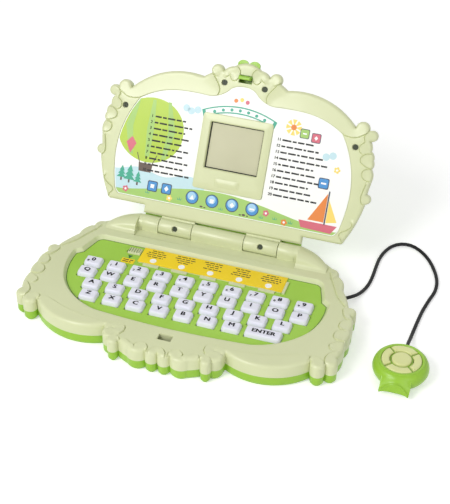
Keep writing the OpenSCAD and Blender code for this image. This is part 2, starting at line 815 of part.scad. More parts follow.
module lid_inner_frame() {
    color(pale)
        lid_pose() {
            difference() {
                union() {
                    difference() {
                        union() {
                            eased_prism(lid_line, back_w, lid_low);
                            petals(lid_petals, lid_v, lid_line, lid_low - eps, face_w);
                        }
                        prism(lid_hollow, back_w - 1, recess_w - wall);
                        prism(print_line, recess_w, face_w + 1);
                    }
                    bezel();
                    mirrored() for (s = screw_spots)
                        translate([s[0] * sx, s[1] * sy + lid_v, back_w])
                            cylinder(r = 4, h = recess_w - eps - back_w, $fn = 32);
                }
                block(-window_w / 2, window_w / 2, lid_v + window_mid * sy - window_h / 2,
                      lid_v + window_mid * sy + window_h / 2, back_w, face_w + 1);
                mirrored() for (s = screw_spots)
                    translate([s[0] * sx, s[1] * sy + lid_v, 0]) {
                        translate([0, 0, lid_low - screw_head_depth])
                            cylinder(r = screw_head_r, h = 5, $fn = 32);
                        translate([0, 0, back_w - 1])
                            cylinder(r = pilot_r, h = frame_t, $fn = 32);
                    }
                // slot for the latch hook
                block(-hook_w / 2 - 1, hook_w / 2 + 1, hook_v - latch_travel - 0.6,
                      hook_v + hook_t + hook_nose + 0.6, back_w - 1, face_w + 1);
                // way for the latch's thumb tab
                block(-tab_half - slip, tab_half + slip, lid_v + 137.5 * sy, lid_v + 160 * sy,
                      back_w - 1, back_w + tab_t + slip);
            }
            mirrored() hinge_arm();
        }
}

tab_half = 10.5;
tab_t = 3.2;

module lid_outer_cover() {
    color(bright)
        lid_pose() difference() {
            union() {
                prism(inset(cover_line, shell_step), outer_w + edge_step, back_w);
                prism(inset(cover_line, shell_step + edge_step), outer_w, outer_w + edge_step + eps);
            }
            prism(lid_hollow, outer_w + wall, back_w + 1);
        }
}

module lid_print_panel() {
    color([0.96, 0.97, 0.93])
        lid_pose() difference() {
            prism(inset(print_line, slip), recess_w, recess_w + print_t);
            prism(round_rectangle(-bezel_x - slip, bezel_x + slip, lid_v + bezel_low * sy - slip,
                                  lid_v + bezel_high * sy + slip, bezel_corner + slip),
                  recess_w - 1, face_w + 2);
        }
}

module lcd_screen() {
    top = recess_w - wall;
    color([0.70, 0.70, 0.58])
        lid_pose()
            block(-window_w / 2 - 3, window_w / 2 + 3, lid_v + window_mid * sy - window_h / 2 - 3,
                  lid_v + window_mid * sy + window_h / 2 + 3, top - glass_t, top);
}

// Thumb tab above the crest, slide bar behind the frame and the hook through its slot
module latch() {
    under_w = hinge_rise + petal_h + wall + 0.2;
    nose_w = under_w + 1 + hook_nose;
    color(bright)
        lid_pose() {
            block(-tab_half, tab_half, hook_v, lid_v + 139 * sy, back_w + slip, back_w + tab_t);
            intersection() {
                block(-tab_half, tab_half, lid_v + 139 * sy - eps, lid_v + 151 * sy,
                      back_w + slip, back_w + tab_t);
                union() {
                    mirrored() translate([5.4, lid_v + 143.6 * sy, back_w])
                        cylinder(r = 5.6, h = tab_t + 1, $fn = 48);
                    block(-tab_half, tab_half, lid_v + 138 * sy, lid_v + 143 * sy, back_w, back_w + tab_t + 1);
                }
            }
            block(-hook_w / 2, hook_w / 2, hook_v, hook_v + hook_t, back_w + slip, nose_w);
            translate([-hook_w / 2, 0, 0])
                rotate([90, 0, 90])
                    linear_extrude(hook_w)
                        polygon([[hook_v + hook_t - eps, under_w],
                                 [hook_v + hook_t + hook_nose, under_w + 1],
                                 [hook_v + hook_t - eps, nose_w]]);
        }
}

// ---- mouse ----------------------------------------------------------------

module mouse_place() {
    translate([mouse_x, mouse_y, 0])
        children();
}

module mouse_bottom() {
    color(bright)
        mouse_place() difference() {
            rotate_extrude($fn = 96)
                polygon([[0, 0], [mouse_r - 4, 0], [mouse_r - 2, 1.2], [mouse_r - 0.8, 4],
                         [mouse_r - 0.4, mouse_seam], [mouse_r - 0.4 - wall, mouse_seam],
                         [mouse_r - 3 - wall, floor_t], [0, floor_t]]);
            translate([-mouse_x, -mouse_y, 0])
                mouse_cord_hole();
        }
}

// Flared tail in front of the mouse body, sloping down to its tips
module mouse_tail() {
    foot_z = 0.6;
    root_z = 11;
    slope = 0.62;
    root_y = 5 - mouse_r;
    line = [[0, -28.6], [4, -28.6], [8.5, -29.4], [11.6, -32.4], [13.6, -31.8], [12, -24],
            [11.5, root_y], [0, root_y]];
    loft([for (upper = [false, true])
        [for (p = line)
            [p[0], p[1], upper ? max(2.8, root_z + (p[1] - root_y) * slope) : foot_z]]]);
}

module mouse_top() {
    color(bright)
        mouse_place() difference() {
            union() {
                rotate_extrude($fn = 96)
                    polygon([[0, mouse_seam], [mouse_r, mouse_seam], [mouse_r, mouse_seam + 2],
                             [mouse_r - 0.5, mouse_h - 7.5], [mouse_r - 1.8, mouse_h - 4.6],
                             [mouse_r - 3.8, mouse_h - 2.2], [mouse_r - 5.6, mouse_h - 0.9],
                             [pad_r + 0.9, mouse_h - 0.5], [pad_r + slip, mouse_h - 0.9],
                             [pad_r + slip, pad_floor], [0, pad_floor]]);
                difference() {
                    mirrored() mouse_tail();
                    translate([0, 0, -1])
                        cylinder(r = mouse_r - 0.2, h = mouse_seam + 1, $fn = 96);
                }
            }
            rotate_extrude($fn = 96)
                polygon([[0, mouse_seam - 7], [mouse_r - wall, mouse_seam - 7], [mouse_r - wall, mouse_seam + 2],
                         [mouse_r - wall - 2.5, pad_floor - 2], [0, pad_floor - 2]]);
            for (p = pad_stems)
                translate([p[0], p[1], 0])
                    cylinder(r = stem_r + 0.15, h = mouse_h, $fn = 32);
            translate([-mouse_x, -mouse_y, 0])
                mouse_cord_hole();
        }
}

stem_r = 1.6;
stem_head_r = 2.2;
pad_stem_d = (pad_r + pad_mid_r) / 2;
pad_stems = [[pad_stem_d, 0], [0, pad_stem_d], [-pad_stem_d, 0], [0, -pad_stem_d], [0, 0]];

module mouse_cord_hole() {
    translate([mouse_x, mouse_y + mouse_r - 6, cord_end[2]])
        rotate([-90, 0, 0])
            cylinder(d = cord_d + 0.4, h = 12, $fn = 32);
}

module pad_stem(place) {
    low = pad_floor - 2 - pad_travel;
    translate([place[0], place[1], 0]) {
        translate([0, 0, low])
            cylinder(r = stem_r, h = pad_floor + pad_travel + 0.5 - low, $fn = 32);
        translate([0, 0, low - 1])
            cylinder(r = stem_head_r, h = 1 + pad_travel - 0.2, $fn = 32);
    }
}

// One of the four ring-shaped buttons; quarter 0 lies on the right
module pad_quarter(quarter) {
    bottom = pad_floor + pad_travel + 0.3;
    rotate([0, 0, 90 * quarter])
        difference() {
            intersection() {
                translate([0, 0, bottom])
                    cylinder(r = pad_r, h = mouse_h - bottom, $fn = 96);
                rotate([0, 0, -45])
                    block(pad_gap / 2, 2 * pad_r, pad_gap / 2, 2 * pad_r, bottom, mouse_h + 1);
            }
            cylinder(r = pad_mid_r + pad_gap, h = 2 * mouse_h, $fn = 96);
        }
}

module mouse_button(k) {
    color([0.85, 0.86, 0.60])
        mouse_place() {
            if (k < 4)
                pad_quarter(k);
            else
                translate([0, 0, pad_floor + pad_travel + 0.3])
                    cylinder(r = pad_mid_r, h = mouse_h + 0.4 - pad_floor - pad_travel - 0.3, $fn = 96);
            pad_stem(pad_stems[k]);
        }
}

// ---- cord -----------------------------------------------------------------

cord_end = cord_route[len(cord_route) - 1];

// Point at parameter t on the smooth curve through the route's points
function spline(points, t) =
    let (n = len(points),
         i = min(floor(t), n - 2),
         u = t - i,
         a = points[max(i - 1, 0)],
         b = points[i],
         c = points[i + 1],
         d = points[min(i + 2, n - 1)])
    0.5 * (2 * b + (c - a) * u + (2 * a - 5 * b + 4 * c - d) * u * u + (3 * b - a - 3 * c + d) * u * u * u);

module mouse_cord() {
    rings = 2 * (len(cord_route) - 1);
    points = [for (k = [0 : rings]) spline(cord_route, k / 2)];
    color(dark)
        loft([for (k = [0 : rings])
            let (a = points[max(k - 1, 0)],
                 b = points[min(k + 1, rings)],
                 t = (b - a) / norm(b - a),
                 side = [t[1], -t[0], 0] / norm([t[0], t[1]]),
                 up = cross(side, t))
            [for (s = [0 : cord_sides - 1])
                let (angle = 360 * s / cord_sides)
                points[k] + (side * cos(angle) + up * sin(angle)) * cord_d / 2]]);
}

// ---- parts ----------------------------------------------------------------

base_bottom();
base_top();
key_deck();
mode_card();
card_tray();
power_slider();
battery_door();
circuit_board();
key_membrane();
lid_inner_frame();
lid_outer_cover();
lid_print_panel();
lcd_screen();
hinge_covers();
latch();
mouse_top();
mouse_bottom();
mouse_cord();
for (r = [0 : 3])
    for (i = [0 : len(row_keys[r]) - 1])
        key_cap(key_place(r, i), key_w);
key_cap([enter_x, key_place(3, 0)[1]], enter_w);  // key_enter
for (k = [0 : 4])
    mouse_button(k);
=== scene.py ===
"""Toy laptop computer with a corded round mouse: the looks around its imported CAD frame."""

import math

import bmesh
import bpy
import numpy as np
from mathutils import Matrix, Vector
from mathutils.geometry import delaunay_2d_cdt


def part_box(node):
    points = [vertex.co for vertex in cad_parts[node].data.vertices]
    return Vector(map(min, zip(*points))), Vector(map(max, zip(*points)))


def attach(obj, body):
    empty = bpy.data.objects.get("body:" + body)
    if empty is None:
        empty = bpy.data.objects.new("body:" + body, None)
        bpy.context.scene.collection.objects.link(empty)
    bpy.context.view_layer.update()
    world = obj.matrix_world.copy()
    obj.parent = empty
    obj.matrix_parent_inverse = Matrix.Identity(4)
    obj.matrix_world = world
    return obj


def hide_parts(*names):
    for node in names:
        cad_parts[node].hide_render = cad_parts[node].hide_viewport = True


MM = 0.001

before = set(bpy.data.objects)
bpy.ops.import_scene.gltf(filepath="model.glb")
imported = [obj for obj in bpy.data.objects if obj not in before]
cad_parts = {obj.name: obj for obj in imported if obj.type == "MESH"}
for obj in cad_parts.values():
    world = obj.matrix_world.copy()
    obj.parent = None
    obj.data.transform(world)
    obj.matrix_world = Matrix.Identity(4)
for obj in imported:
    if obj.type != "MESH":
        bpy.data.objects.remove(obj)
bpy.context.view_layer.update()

# ---- sizes in millimetres, as in part.scad ----------------------------------

RIM_Z = 23.5
PETAL = 1.0
RIM_LOW = RIM_Z - PETAL
SEAM_Z = 10.5
DECK_Z = 18.5
PLINTH_Z = 1.5
PLINTH_INSET = 2.0
SHELL_STEP = 0.4
WALL = 2.2
HINGE_Y = -7.0
HINGE_Z = 24.6
BARREL_R = 7.6
BARREL_X = 74.4
SHELF_Z = 20.6
TONGUE_V = 8.9
LID_V = 15.9
COVER_DROP = 3.0
STRIP_Y = -26.0
FACE_W = 0.8
LID_LOW = FACE_W - PETAL
RECESS_W = LID_LOW - 0.9
BACK_W = -7.2
OUTER_W = -13.7
ARM_X = 41.6
BLOCK_X = 78.0
LEAN = math.radians(61)
CORD_D = 3.3



def added(name, data):
    """New object with this data, in the scene."""
    obj = bpy.data.objects.new(name, data)
    bpy.context.scene.collection.objects.link(obj)
    return obj


# ---- camera -------------------------------------------------------------------

CAMERA_PLACE = (0.272064, -0.877121, 0.702764)
CAMERA_RIGHT = (0.951708, 0.306367, 0.019750)
CAMERA_UP = (-0.200764, 0.572409, 0.795011)
CAMERA_BACK = (0.232260, -0.760583, 0.606274)
CAMERA_LENS = 87.09


def make_camera():
    data = bpy.data.cameras.new("camera")
    data.lens = CAMERA_LENS
    data.sensor_width = 36
    camera = added("camera", data)
    axes = Matrix((CAMERA_RIGHT, CAMERA_UP, CAMERA_BACK)).transposed()
    camera.matrix_world = Matrix.Translation(CAMERA_PLACE) @ axes.to_4x4()
    bpy.context.scene.camera = camera


# ---- materials ------------------------------------------------------------------

DRIFT_SCALE = 22
GRAIN_DEPTH = 0.0001


def linear(r, g, b):
    """A colour given as 0 to 255 sRGB, as linear RGBA."""
    c = [v / 255 for v in (r, g, b)]
    return [v / 12.92 if v <= 0.04045 else ((v + 0.055) / 1.055) ** 2.4 for v in c] + [1.0]


def mixed(a, b, t):
    return [x * (1 - t) + y * t for x, y in zip(a, b)]


def new_node(nt, kind, **values):
    """Shader node with some of its inputs set; an underscore in a name stands for a space."""
    node = nt.nodes.new("ShaderNode" + kind)
    for name, value in values.items():
        node.inputs[name.replace("_", " ")].default_value = value
    return node


def plastic(name, rgb, rough=0.38, grain=0.12, grain_scale=900, drift=0.05, coat=0.0, shine=0.4):
    """Moulded plastic: slow colour drift, fine grain in the surface and uneven gloss."""
    m = bpy.data.materials.new(name)
    m.use_nodes = True
    nt = m.node_tree
    link = nt.links.new
    bsdf = nt.nodes["Principled BSDF"]
    colour = linear(*rgb)
    coord = new_node(nt, "TexCoord")
    slow = new_node(nt, "TexNoise", Scale=DRIFT_SCALE, Detail=3)
    link(coord.outputs["Object"], slow.inputs["Vector"])
    ramp = new_node(nt, "ValToRGB")
    dark, light = ramp.color_ramp.elements
    dark.position, light.position = 0.3, 0.7
    dark.color = mixed(colour, [0, 0, 0, 1], drift)
    light.color = mixed(colour, [1, 1, 1, 1], drift * 0.6)
    link(slow.outputs["Fac"], ramp.inputs["Fac"])
    link(ramp.outputs["Color"], bsdf.inputs["Base Color"])
    fine = new_node(nt, "TexNoise", Scale=grain_scale, Detail=2)
    link(coord.outputs["Object"], fine.inputs["Vector"])
    bump = new_node(nt, "Bump", Strength=grain, Distance=GRAIN_DEPTH)
    link(fine.outputs["Fac"], bump.inputs["Height"])
    link(bump.outputs["Normal"], bsdf.inputs["Normal"])
    gloss = new_node(nt, "MapRange", To_Min=rough - 0.05, To_Max=rough + 0.07)
    link(slow.outputs["Fac"], gloss.inputs["Value"])
    link(gloss.outputs["Result"], bsdf.inputs["Roughness"])
    bsdf.inputs["Specular IOR Level"].default_value = shine
    bsdf.inputs["Coat Weight"].default_value = coat
    return m


def printed(name, rgb, rough=0.3, drift=0.03):
    """Ink on the lid's smooth sheet."""
    return plastic(name + "_print", rgb, rough=rough, drift=drift, grain=0.03)


def make_materials():
    return {
        "pale": plastic("pale_green_plastic", (212, 217, 172), rough=0.3, drift=0.03, shine=0.5),
        "bright": plastic("bright_green_plastic", (150, 197, 50), rough=0.32, drift=0.03),
        "deck": plastic("deck_plastic", (159, 205, 66), rough=0.48, grain=0.3, grain_scale=1400),
        "key": plastic("key_plastic", (232, 232, 245), rough=0.34, drift=0.02),
        "ink": plastic("black_ink", (24, 22, 26), rough=0.55, drift=0.02),
        "card": plastic("card_print", (246, 212, 8), rough=0.45, drift=0.03),
        "white": plastic("white_print", (250, 250, 250), rough=0.4, drift=0.01),
        "sheet": plastic("printed_sheet", (250, 251, 247), rough=0.3, drift=0.01, grain=0.03),
        "lime": printed("lime", (180, 208, 64), drift=0.04),
        "lawn": printed("lawn", (165, 205, 108), drift=0.05),
        "sky": printed("sky", (196, 226, 234), drift=0.02),
        "orange": printed("orange", (232, 134, 58), drift=0.04),
        "yellow": printed("yellow", (250, 218, 110)),
        "brown": printed("brown", (92, 74, 62), drift=0.05),
        "teal": printed("teal", (60, 168, 140)),
        "rose": printed("rose", (214, 104, 122)),
        "navy": printed("navy", (56, 66, 92)),
        "blue": printed("blue", (72, 148, 212), rough=0.25, drift=0.05),
        "pale_blue": printed("pale_blue", (170, 212, 240), rough=0.25, drift=0.02),
        "glass": plastic("display_glass", (196, 194, 160), rough=0.3, coat=0.15, grain=0.02),
        # Painted shadow: near-black for the ring round the display window that stands for the shade
        # on the window's inner walls
        "dark": plastic("window_wall_shadow", (20, 24, 24), rough=0.5, shine=0.2),
        "cord": plastic("cord_rubber", (14, 15, 17), rough=0.5, grain=0.3, grain_scale=2200,
                        shine=0.15),
        "pad": plastic("pad_plastic", (222, 226, 156), rough=0.34),
        "steel": plastic("screw_steel", (56, 66, 44), rough=0.4, shine=0.25),
        # Painted shade: dark green for the shade in the gap along the deck's edge and between the
        # slider knob's ribs
        "seam": plastic("seam_shadow", (62, 98, 34), rough=0.6),
        "board": plastic("board_lacquer", (40, 104, 60), rough=0.4),
        "rubber": plastic("membrane_rubber", (208, 210, 214), rough=0.6),
    }


def paint(obj, material):
    obj.data.materials.clear()
    obj.data.materials.append(material)
    return obj


# ---- outlines and fields ----------------------------------------------------------

BASE_HALF = [
    (0, -172.8, 0.70), (11, -172.8, 0.45), (27, -173.4, 0.05), (36.5, -168.6, 1.15),
    (46, -167.6, 0.40), (54, -158.5, 0), (54.4, -154.8, 0.36), (123.4, -141.2, 1.10),
    (136.2, -140.4, 0.95), (143.0, -130.0, 0.18), (145.2, -108.2, 0.22), (146.2, -92, 0.22),
    (142.2, -73.4, 0.95), (137.8, -62.4, 0.06), (127, -40, 0.30), (118.5, -22.5, 0.50),
    (111.5, -13.5, 0.06), (80, 5, 0), (0, 5, 0),
]
WELL_HALF = [
    (0, -139.5, 0.02), (70, -136, 0.20), (111.5, -105, 0.14), (118.5, -65.5, 0), (113, -61, 0.02),
    (108, -44, 0.40), (101, -37.5, 0), (0, -37.5, 0),
]
LID_HALF = [
    (0, -7, 0), (77, -7, 0), (77, 0, 0), (112.5, 0, 0.35), (115, 2.6, 0.08), (128.2, 40.2, 0.95),
    (128.2, 49.4, 0), (130.4, 63, 0.22), (128.3, 72.2, 0.32), (128.5, 80, 0.32), (125.2, 88, 0.28),
    (122.8, 96.6, 1.60), (120, 105.4, 1.15), (107.6, 106.6, 0.26), (39.8, 128.4, 0.05),
    (32.8, 132.8, 1.25), (22, 136.4, 0.25), (12.6, 142, 0.173), (0, 146.5, 0),
]
PRINT_HALF = [
    (0, 6, 0), (104, 6, 0.20), (109, 12, 0.05), (113.4, 42, 0.16), (97, 99, 0.14),
    (58, 112.2, 0.03), (32, 112, -0.22), (12, 121.5, 0.18), (0, 125, 0),
]


def arc(p, q, bulge, step):
    """Points of the edge from p to q, bowed outwards by its bulge, about step apart, without q."""
    p, q = np.array(p[:2], float), np.array(q[:2], float)
    chord = np.linalg.norm(q - p)
    if abs(bulge) < 0.01:
        n = max(1, round(chord / step))
        return [p + (q - p) * i / n for i in range(n)]
    sweep = 4 * math.atan(bulge)
    direction = (q - p) / chord
    centre = (p + q) / 2 + np.array([-direction[1], direction[0]]) * chord / 2 / math.tan(sweep / 2)
    radius = chord / 2 / abs(math.sin(sweep / 2))
    start = math.atan2(*(p - centre)[::-1])
    n = max(2, round(radius * abs(sweep) / step))
    turns = [start + sweep * i / n for i in range(n)]
    return [centre + radius * np.array([math.cos(t), math.sin(t)]) for t in turns]


def outline(half, step=0.9, shift=(0, 0)):
    """Whole outline, counter-clockwise, from the corners of its right half."""
    right = []
    for a, b in zip(half, half[1:]):
        right += arc(a, b, a[2], step)
    left = [np.array([-p[0], p[1]]) for p in right[:0:-1]]
    return np.array(right + [np.array(half[-1][:2], float)] + left) + np.array(shift)


SHARPEST_MITRE = 0.35


def inset(points, d):
    """Outline moved inwards by d, corner by corner; a negative d moves it outwards."""
    a, c = np.roll(points, 1, 0), np.roll(points, -1, 0)
    u = points - a
    v = c - points
    u /= np.linalg.norm(u, axis=1)[:, None]
    v /= np.linalg.norm(v, axis=1)[:, None]
    nu = np.stack([-u[:, 1], u[:, 0]], 1)
    nv = np.stack([-v[:, 1], v[:, 0]], 1)
    k = np.maximum(SHARPEST_MITRE, 1 + (nu * nv).sum(1))
    return points + (nu + nv) * (d / k)[:, None]


POINTS_AT_ONCE = 4000


def near(points, path, closed):
    """Distance to a path, the side (+1 is its right) and how many edges along it that is."""
    a = path
    b = np.roll(path, -1, 0)
    if not closed:
        a, b = a[:-1], b[:-1]
    d = b - a
    length2 = np.maximum((d * d).sum(1), 1e-9)
    dist = np.empty(len(points))
    side = np.empty(len(points))
    along = np.empty(len(points))
    for i in range(0, len(points), POINTS_AT_ONCE):
        part = slice(i, i + POINTS_AT_ONCE)
        p = points[part]
        ap = p[:, None, :] - a[None]
        t = np.clip((ap * d[None]).sum(2) / length2[None], 0, 1)
        off = ap - t[..., None] * d[None]
        r2 = (off * off).sum(2)
        k = r2.argmin(1)
        rows = np.arange(len(p))
        dist[part] = np.sqrt(r2[rows, k])
        cross = d[k, 0] * ap[rows, k, 1] - d[k, 1] * ap[rows, k, 0]
        side[part] = np.where(cross > 0, -1, 1)
        along[part] = k + t[rows, k]
    return dist, side, along


def inside(points, loop):
    """Whether each point lies inside a closed loop."""
    x, y = points[:, 0], points[:, 1]
    result = np.zeros(len(points), bool)
    for (x0, y0), (x1, y1) in zip(loop, np.roll(loop, -1, 0)):
        if y0 == y1:
            continue
        crosses = (y0 > y) != (y1 > y)
        result ^= crosses & (x < (x1 - x0) * (y - y0) / (y1 - y0) + x0)
    return result


def through(points, each, step=None):
    """Catmull-Rom curve through given points, each or about step apart."""
    p = np.array(points, float)
    p = np.vstack([2 * p[0] - p[1], p, 2 * p[-1] - p[-2]])
    out = []
    for a, b, c, d in zip(p, p[1:], p[2:], p[3:]):
        n = max(2, int(np.linalg.norm(c - b) / step)) if step else each
        for u in np.arange(n) / n:
            out.append(0.5 * (2 * b + (c - a) * u + (2 * a - 5 * b + 4 * c - d) * u * u
                              + (3 * b - a - 3 * c + d) * u**3))
    return np.array(out + [p[-2]])


STEP_WIDTH = 0.5
CREASE = 0.8
CREASE_WIDTH = 0.4
PATH_STEP = 0.5
FADE = 3.0
EDGE_REACH = 2.5


def smooth_path(points, step=PATH_STEP):
    return through(points, None, step)


def run_out(path, line):
    """Path whose ends near the outline are drawn on beyond it."""
    path = [np.array(p, float) for p in path]
    for end, before, at in ((path[0], path[1], 0), (path[-1], path[-2], len(path))):
        if near(end[None], line, True)[0][0] < EDGE_REACH or not inside(end[None], line)[0]:
            way = (end - before) / np.linalg.norm(end - before)
            path.insert(at if at == 0 else len(path), end + way * (FADE + 1.5))
    return path


def ridge(points, path, height, decay):
    """Short step up along a path, sinking slowly on its right, and the furrow at its foot."""
    curve = smooth_path(path)
    dist, side, along = near(points, curve, False)
    s = dist * side
    high = np.exp(-np.maximum(s, 0) / decay)
    low = np.clip(1 + s / STEP_WIDTH, 0, 1) ** 2
    fade = np.clip(np.minimum(along, len(curve) - 1 - along) * PATH_STEP / FADE, 0, 1)
    furrow = fade * CREASE * np.exp(-(((s + 1.1 * STEP_WIDTH) / CREASE_WIDTH) ** 2))
    return height * fade * np.where(s >= 0, high, low), furrow


def groove(points, path, depth, width):
    dist, _, _ = near(points, smooth_path(path), False)
    return -depth * np.exp(-((dist / width) ** 2))


# Petal and scroll edges of the right half: the raised side is on the right of the way
BASE_RIDGES = [
    ([(39.6, -162.7), (36.5, -157.5), (36.8, -152.3), (40.4, -149.9), (54.5, -151.9), (67, -151),
      (80.4, -148.9), (90.2, -146.9), (98.8, -143.8), (107.7, -140), (115.4, -137.1),
      (120.6, -137), (122.4, -140)], 1.0, 9),
    ([(20.8, -173.5), (21.4, -171), (25, -169.4), (29.4, -166.9), (33.6, -166), (35.6, -168.6)],
     0.9, 5),
    ([(36.1, -173.3), (35.7, -168.1), (39.9, -164.7), (45.1, -166.9), (47.6, -170.6)], 1.0, 5),
    ([(10.4, -177), (9.8, -173.1), (10.2, -169.4), (13.3, -166.1), (17.5, -165.8), (20.8, -168.8),
      (20.4, -172.8)], 0.9, 5),
    ([(-1.5, -166.6), (0, -166.5), (3.9, -168.6), (6.6, -172.5), (7.3, -177)], 0.9, 5),
    ([(122.2, -141), (122.6, -137.4), (124.4, -135.6), (128.4, -136.1), (133.3, -138.7),
      (136.6, -142.6)], 1.0, 5),
    ([(135.4, -139.2), (134.5, -133.3), (136.4, -128.3), (142.9, -121.3)], 0.9, 5),
    ([(138.2, -122.5), (134.9, -120.6), (134.2, -116.1), (138.6, -112.5), (143.6, -111.2)], 0.9, 5),
    ([(143.8, -108.3), (138.6, -108.5), (135.2, -106.3), (134.6, -101), (138, -96.4), (143.6, -95)],
     0.9, 5),
    ([(143.6, -94.2), (138.7, -93.8), (135.9, -91), (136.2, -85.5), (139.9, -81.6), (143.4, -80)],
     0.9, 5),
    ([(143.4, -79.4), (139.9, -79.8), (136.4, -75.6), (134.3, -69.2), (134.8, -65)], 0.9, 5),
    ([(136.4, -64.7), (129.9, -58.4), (123.9, -50), (119.7, -41), (114.5, -30), (110.5, -20)],
     0.9, 7),
]
BASE_GROOVES = [
    ([(55.4, -156.6), (51.9, -157.6), (46.5, -155.4), (43.2, -155.6)], 0.9, 0.7),
    ([(119.5, -23.5), (115.5, -26.5), (113, -30)], 0.7, 0.8),
]
LID_RIDGES = [
    ([(120.2, 105.1), (116.1, 102.2), (111.2, 99.2), (106, 98), (99.4, 98.9), (92.4, 101.9),
      (84.4, 105.1), (70, 109.3), (55.3, 112.2), (37, 112.4), (28.4, 111.6), (24.6, 113.4),
      (23, 117), (23.6, 121), (26.3, 125.4), (29.9, 130.1), (32.4, 132.6)], 1.0, 8),
    ([(14.5, 135), (13.7, 131.5), (11.3, 129.6), (8.6, 130.5), (6.5, 134), (6.4, 138), (8.4, 141),
      (11.4, 142.4)], 0.8, 4),
    ([(33, 134.2), (30, 132.2), (25.6, 130.3)], 0.8, 4),
    ([(20.6, 130.4), (16.8, 133.2), (14.5, 135.4)], 0.7, 4),
    ([(120, 84.2), (115.7, 86.4), (115, 91.3), (118.6, 95.5), (117.4, 100.3), (120.3, 104.9)],
     0.9, 5),
    ([(128, 73.6), (123.5, 74.3), (118.6, 77), (117.8, 81), (121.5, 84.6), (126.4, 85.6)],
     0.9, 5),
    ([(128.3, 61.8), (123.5, 63), (121.2, 66.5), (122.6, 70.6), (128, 72.2)], 0.9, 5),
    ([(130.5, 40.2), (126.3, 40.6), (124.2, 43.8), (124.3, 47.5), (125.5, 54), (127.2, 60.6)],
     0.9, 4),
    ([(114.4, 2.3), (112.8, 5.5), (110.8, 8.5), (112, 11), (116.3, 13.5), (120.2, 17.2),
      (120.9, 20.3), (118.5, 23.4)], 0.8, 5),
]


def folded(points, shift=0.0):
    """Points with x made positive, as the relief is drawn for the right half only."""
    return np.stack([np.abs(points[:, 0]), points[:, 1] - shift], 1)


def relief(points, line, ridges, grooves=(), shift=0.0):
    """Height of the petals and scrolls over the plain surface inside an outline."""
    p = folded(points, shift)
    line = line - (0, shift)
    z = np.zeros(len(p))
    furrows = np.zeros(len(p))
    for path, height, decay in ridges:
        rise, furrow = ridge(p, run_out(path, line), height, decay)
        z = np.maximum(z, rise)
        furrows = np.maximum(furrows, furrow * (rise < 0.5))
    z = z - furrows
    for path, depth, width in grooves:
        z = z + groove(p, path, depth, width)
    return z


def rolled(dist, radius):
    """Drop of a rounded edge at a distance from the outline."""
    t = np.clip(radius - dist, 0, radius)
    return radius - np.sqrt(np.maximum(radius * radius - t * t, 0))


# ---- meshes -------------------------------------------------------------------------


def smoothed(mesh, sharp=38):
    """Mesh with smooth shading, but sharp at edges steeper than an angle in degrees."""
    mesh.shade_smooth()
    mesh.set_sharp_from_angle(angle=math.radians(sharp))


def make_object(name, verts, faces, material, smooth=True, sharp=35):
    """Mesh object from millimetre vertices."""
    mesh = bpy.data.meshes.new(name)
    mesh.from_pydata([tuple(v) for v in np.asarray(verts, float) * MM], [], faces)
    mesh.update()
    obj = paint(added(name, mesh), material)
    if smooth:
        smoothed(mesh, sharp)
    return obj


def turned(faces):
    """Faces that look the other way."""
    return [tuple(reversed(f)) for f in faces]


def joined(parts):
    """Several (verts, faces) lists as one."""
    verts, faces = [], []
    for v, f in parts:
        k = len(verts)
        verts += [tuple(p) for p in v]
        faces += [tuple(i + k for i in face) for face in f]
    return verts, faces


def rings_mesh(rings, cap_start=True, cap_end=True):
    """Skin over rings with equal numbers of points."""
    n = len(rings[0])
    verts = [tuple(p) for r in rings for p in r]
    faces = []
    for k in range(len(rings) - 1):
        for i in range(n):
            j = (i + 1) % n
            faces.append((k * n + i, k * n + j, k * n + n + j, k * n + n + i))
    if cap_start:
        faces.append(tuple(range(n - 1, -1, -1)))
    if cap_end:
        top = (len(rings) - 1) * n
        faces.append(tuple(range(top, top + n)))
    return verts, faces


def at_z(points, z):
    return [(p[0], p[1], z) for p in points]


def triangulated(outer, holes, grid, rings=(), extra_points=None):
    """Points and triangles of a flat region, with a grid inside and rings near the outline."""
    low, high = outer.min(0), outer.max(0)
    xs = np.arange(low[0], high[0], grid)
    ys = np.arange(low[1], high[1], grid * 0.866)
    gx, gy = np.meshgrid(xs, ys)
    gx = gx + (np.arange(len(ys)) % 2)[:, None] * grid / 2
    free = np.stack([gx.ravel(), gy.ravel()], 1)
    keep = inside(free, outer)
    for h in holes:
        keep &= ~inside(free, h)
    free = free[keep]
    far = max(rings) + grid * 0.4 if rings else grid * 0.5
    free = free[near(free, outer, True)[0] > far]
    for h in holes:
        free = free[near(free, h, True)[0] > grid * 0.5]
    extra = [] if extra_points is None else [extra_points]
    if extra_points is not None:
        cells = {tuple(c) for c in np.round(extra_points / (grid * 0.6)).astype(int)}
        free = free[[tuple(c) not in cells for c in np.round(free / (grid * 0.6)).astype(int)]]
    for d in rings:
        ring = inset(outer, d)
        dist = near(ring, outer, True)[0]
        ok = (dist > d * 0.93) & inside(ring, outer)
        for h in holes:
            ok &= ~inside(ring, h) & (near(ring, h, True)[0] > 0.4)
        extra.append(ring[ok])
    loops = [outer] + list(holes)
    points = np.vstack(loops + extra + [free])
    edges = []
    k = 0
    for loop in loops:
        n = len(loop)
        edges += [(k + i, k + (i + 1) % n) for i in range(n)]
        k += n
    cdt = delaunay_2d_cdt([Vector(p) for p in points], edges, [], 0, 1e-6)
    pts = np.array([tuple(v) for v in cdt[0]])
    tris = np.array([tuple(f) for f in cdt[2]])
    mid = pts[tris].mean(1)
    ok = inside(mid, outer)
    for h in holes:
        ok &= ~inside(mid, h)
    tris = tris[ok]
    used, index = np.unique(tris, return_inverse=True)
    pts = pts[used]
    tris = index.reshape(-1, 3)
    a, b, c = pts[tris[:, 0]], pts[tris[:, 1]], pts[tris[:, 2]]
    flip = (b - a)[:, 0] * (c - a)[:, 1] - (b - a)[:, 1] * (c - a)[:, 0] < 0
    tris[flip] = tris[flip][:, ::-1]
    return pts, tris


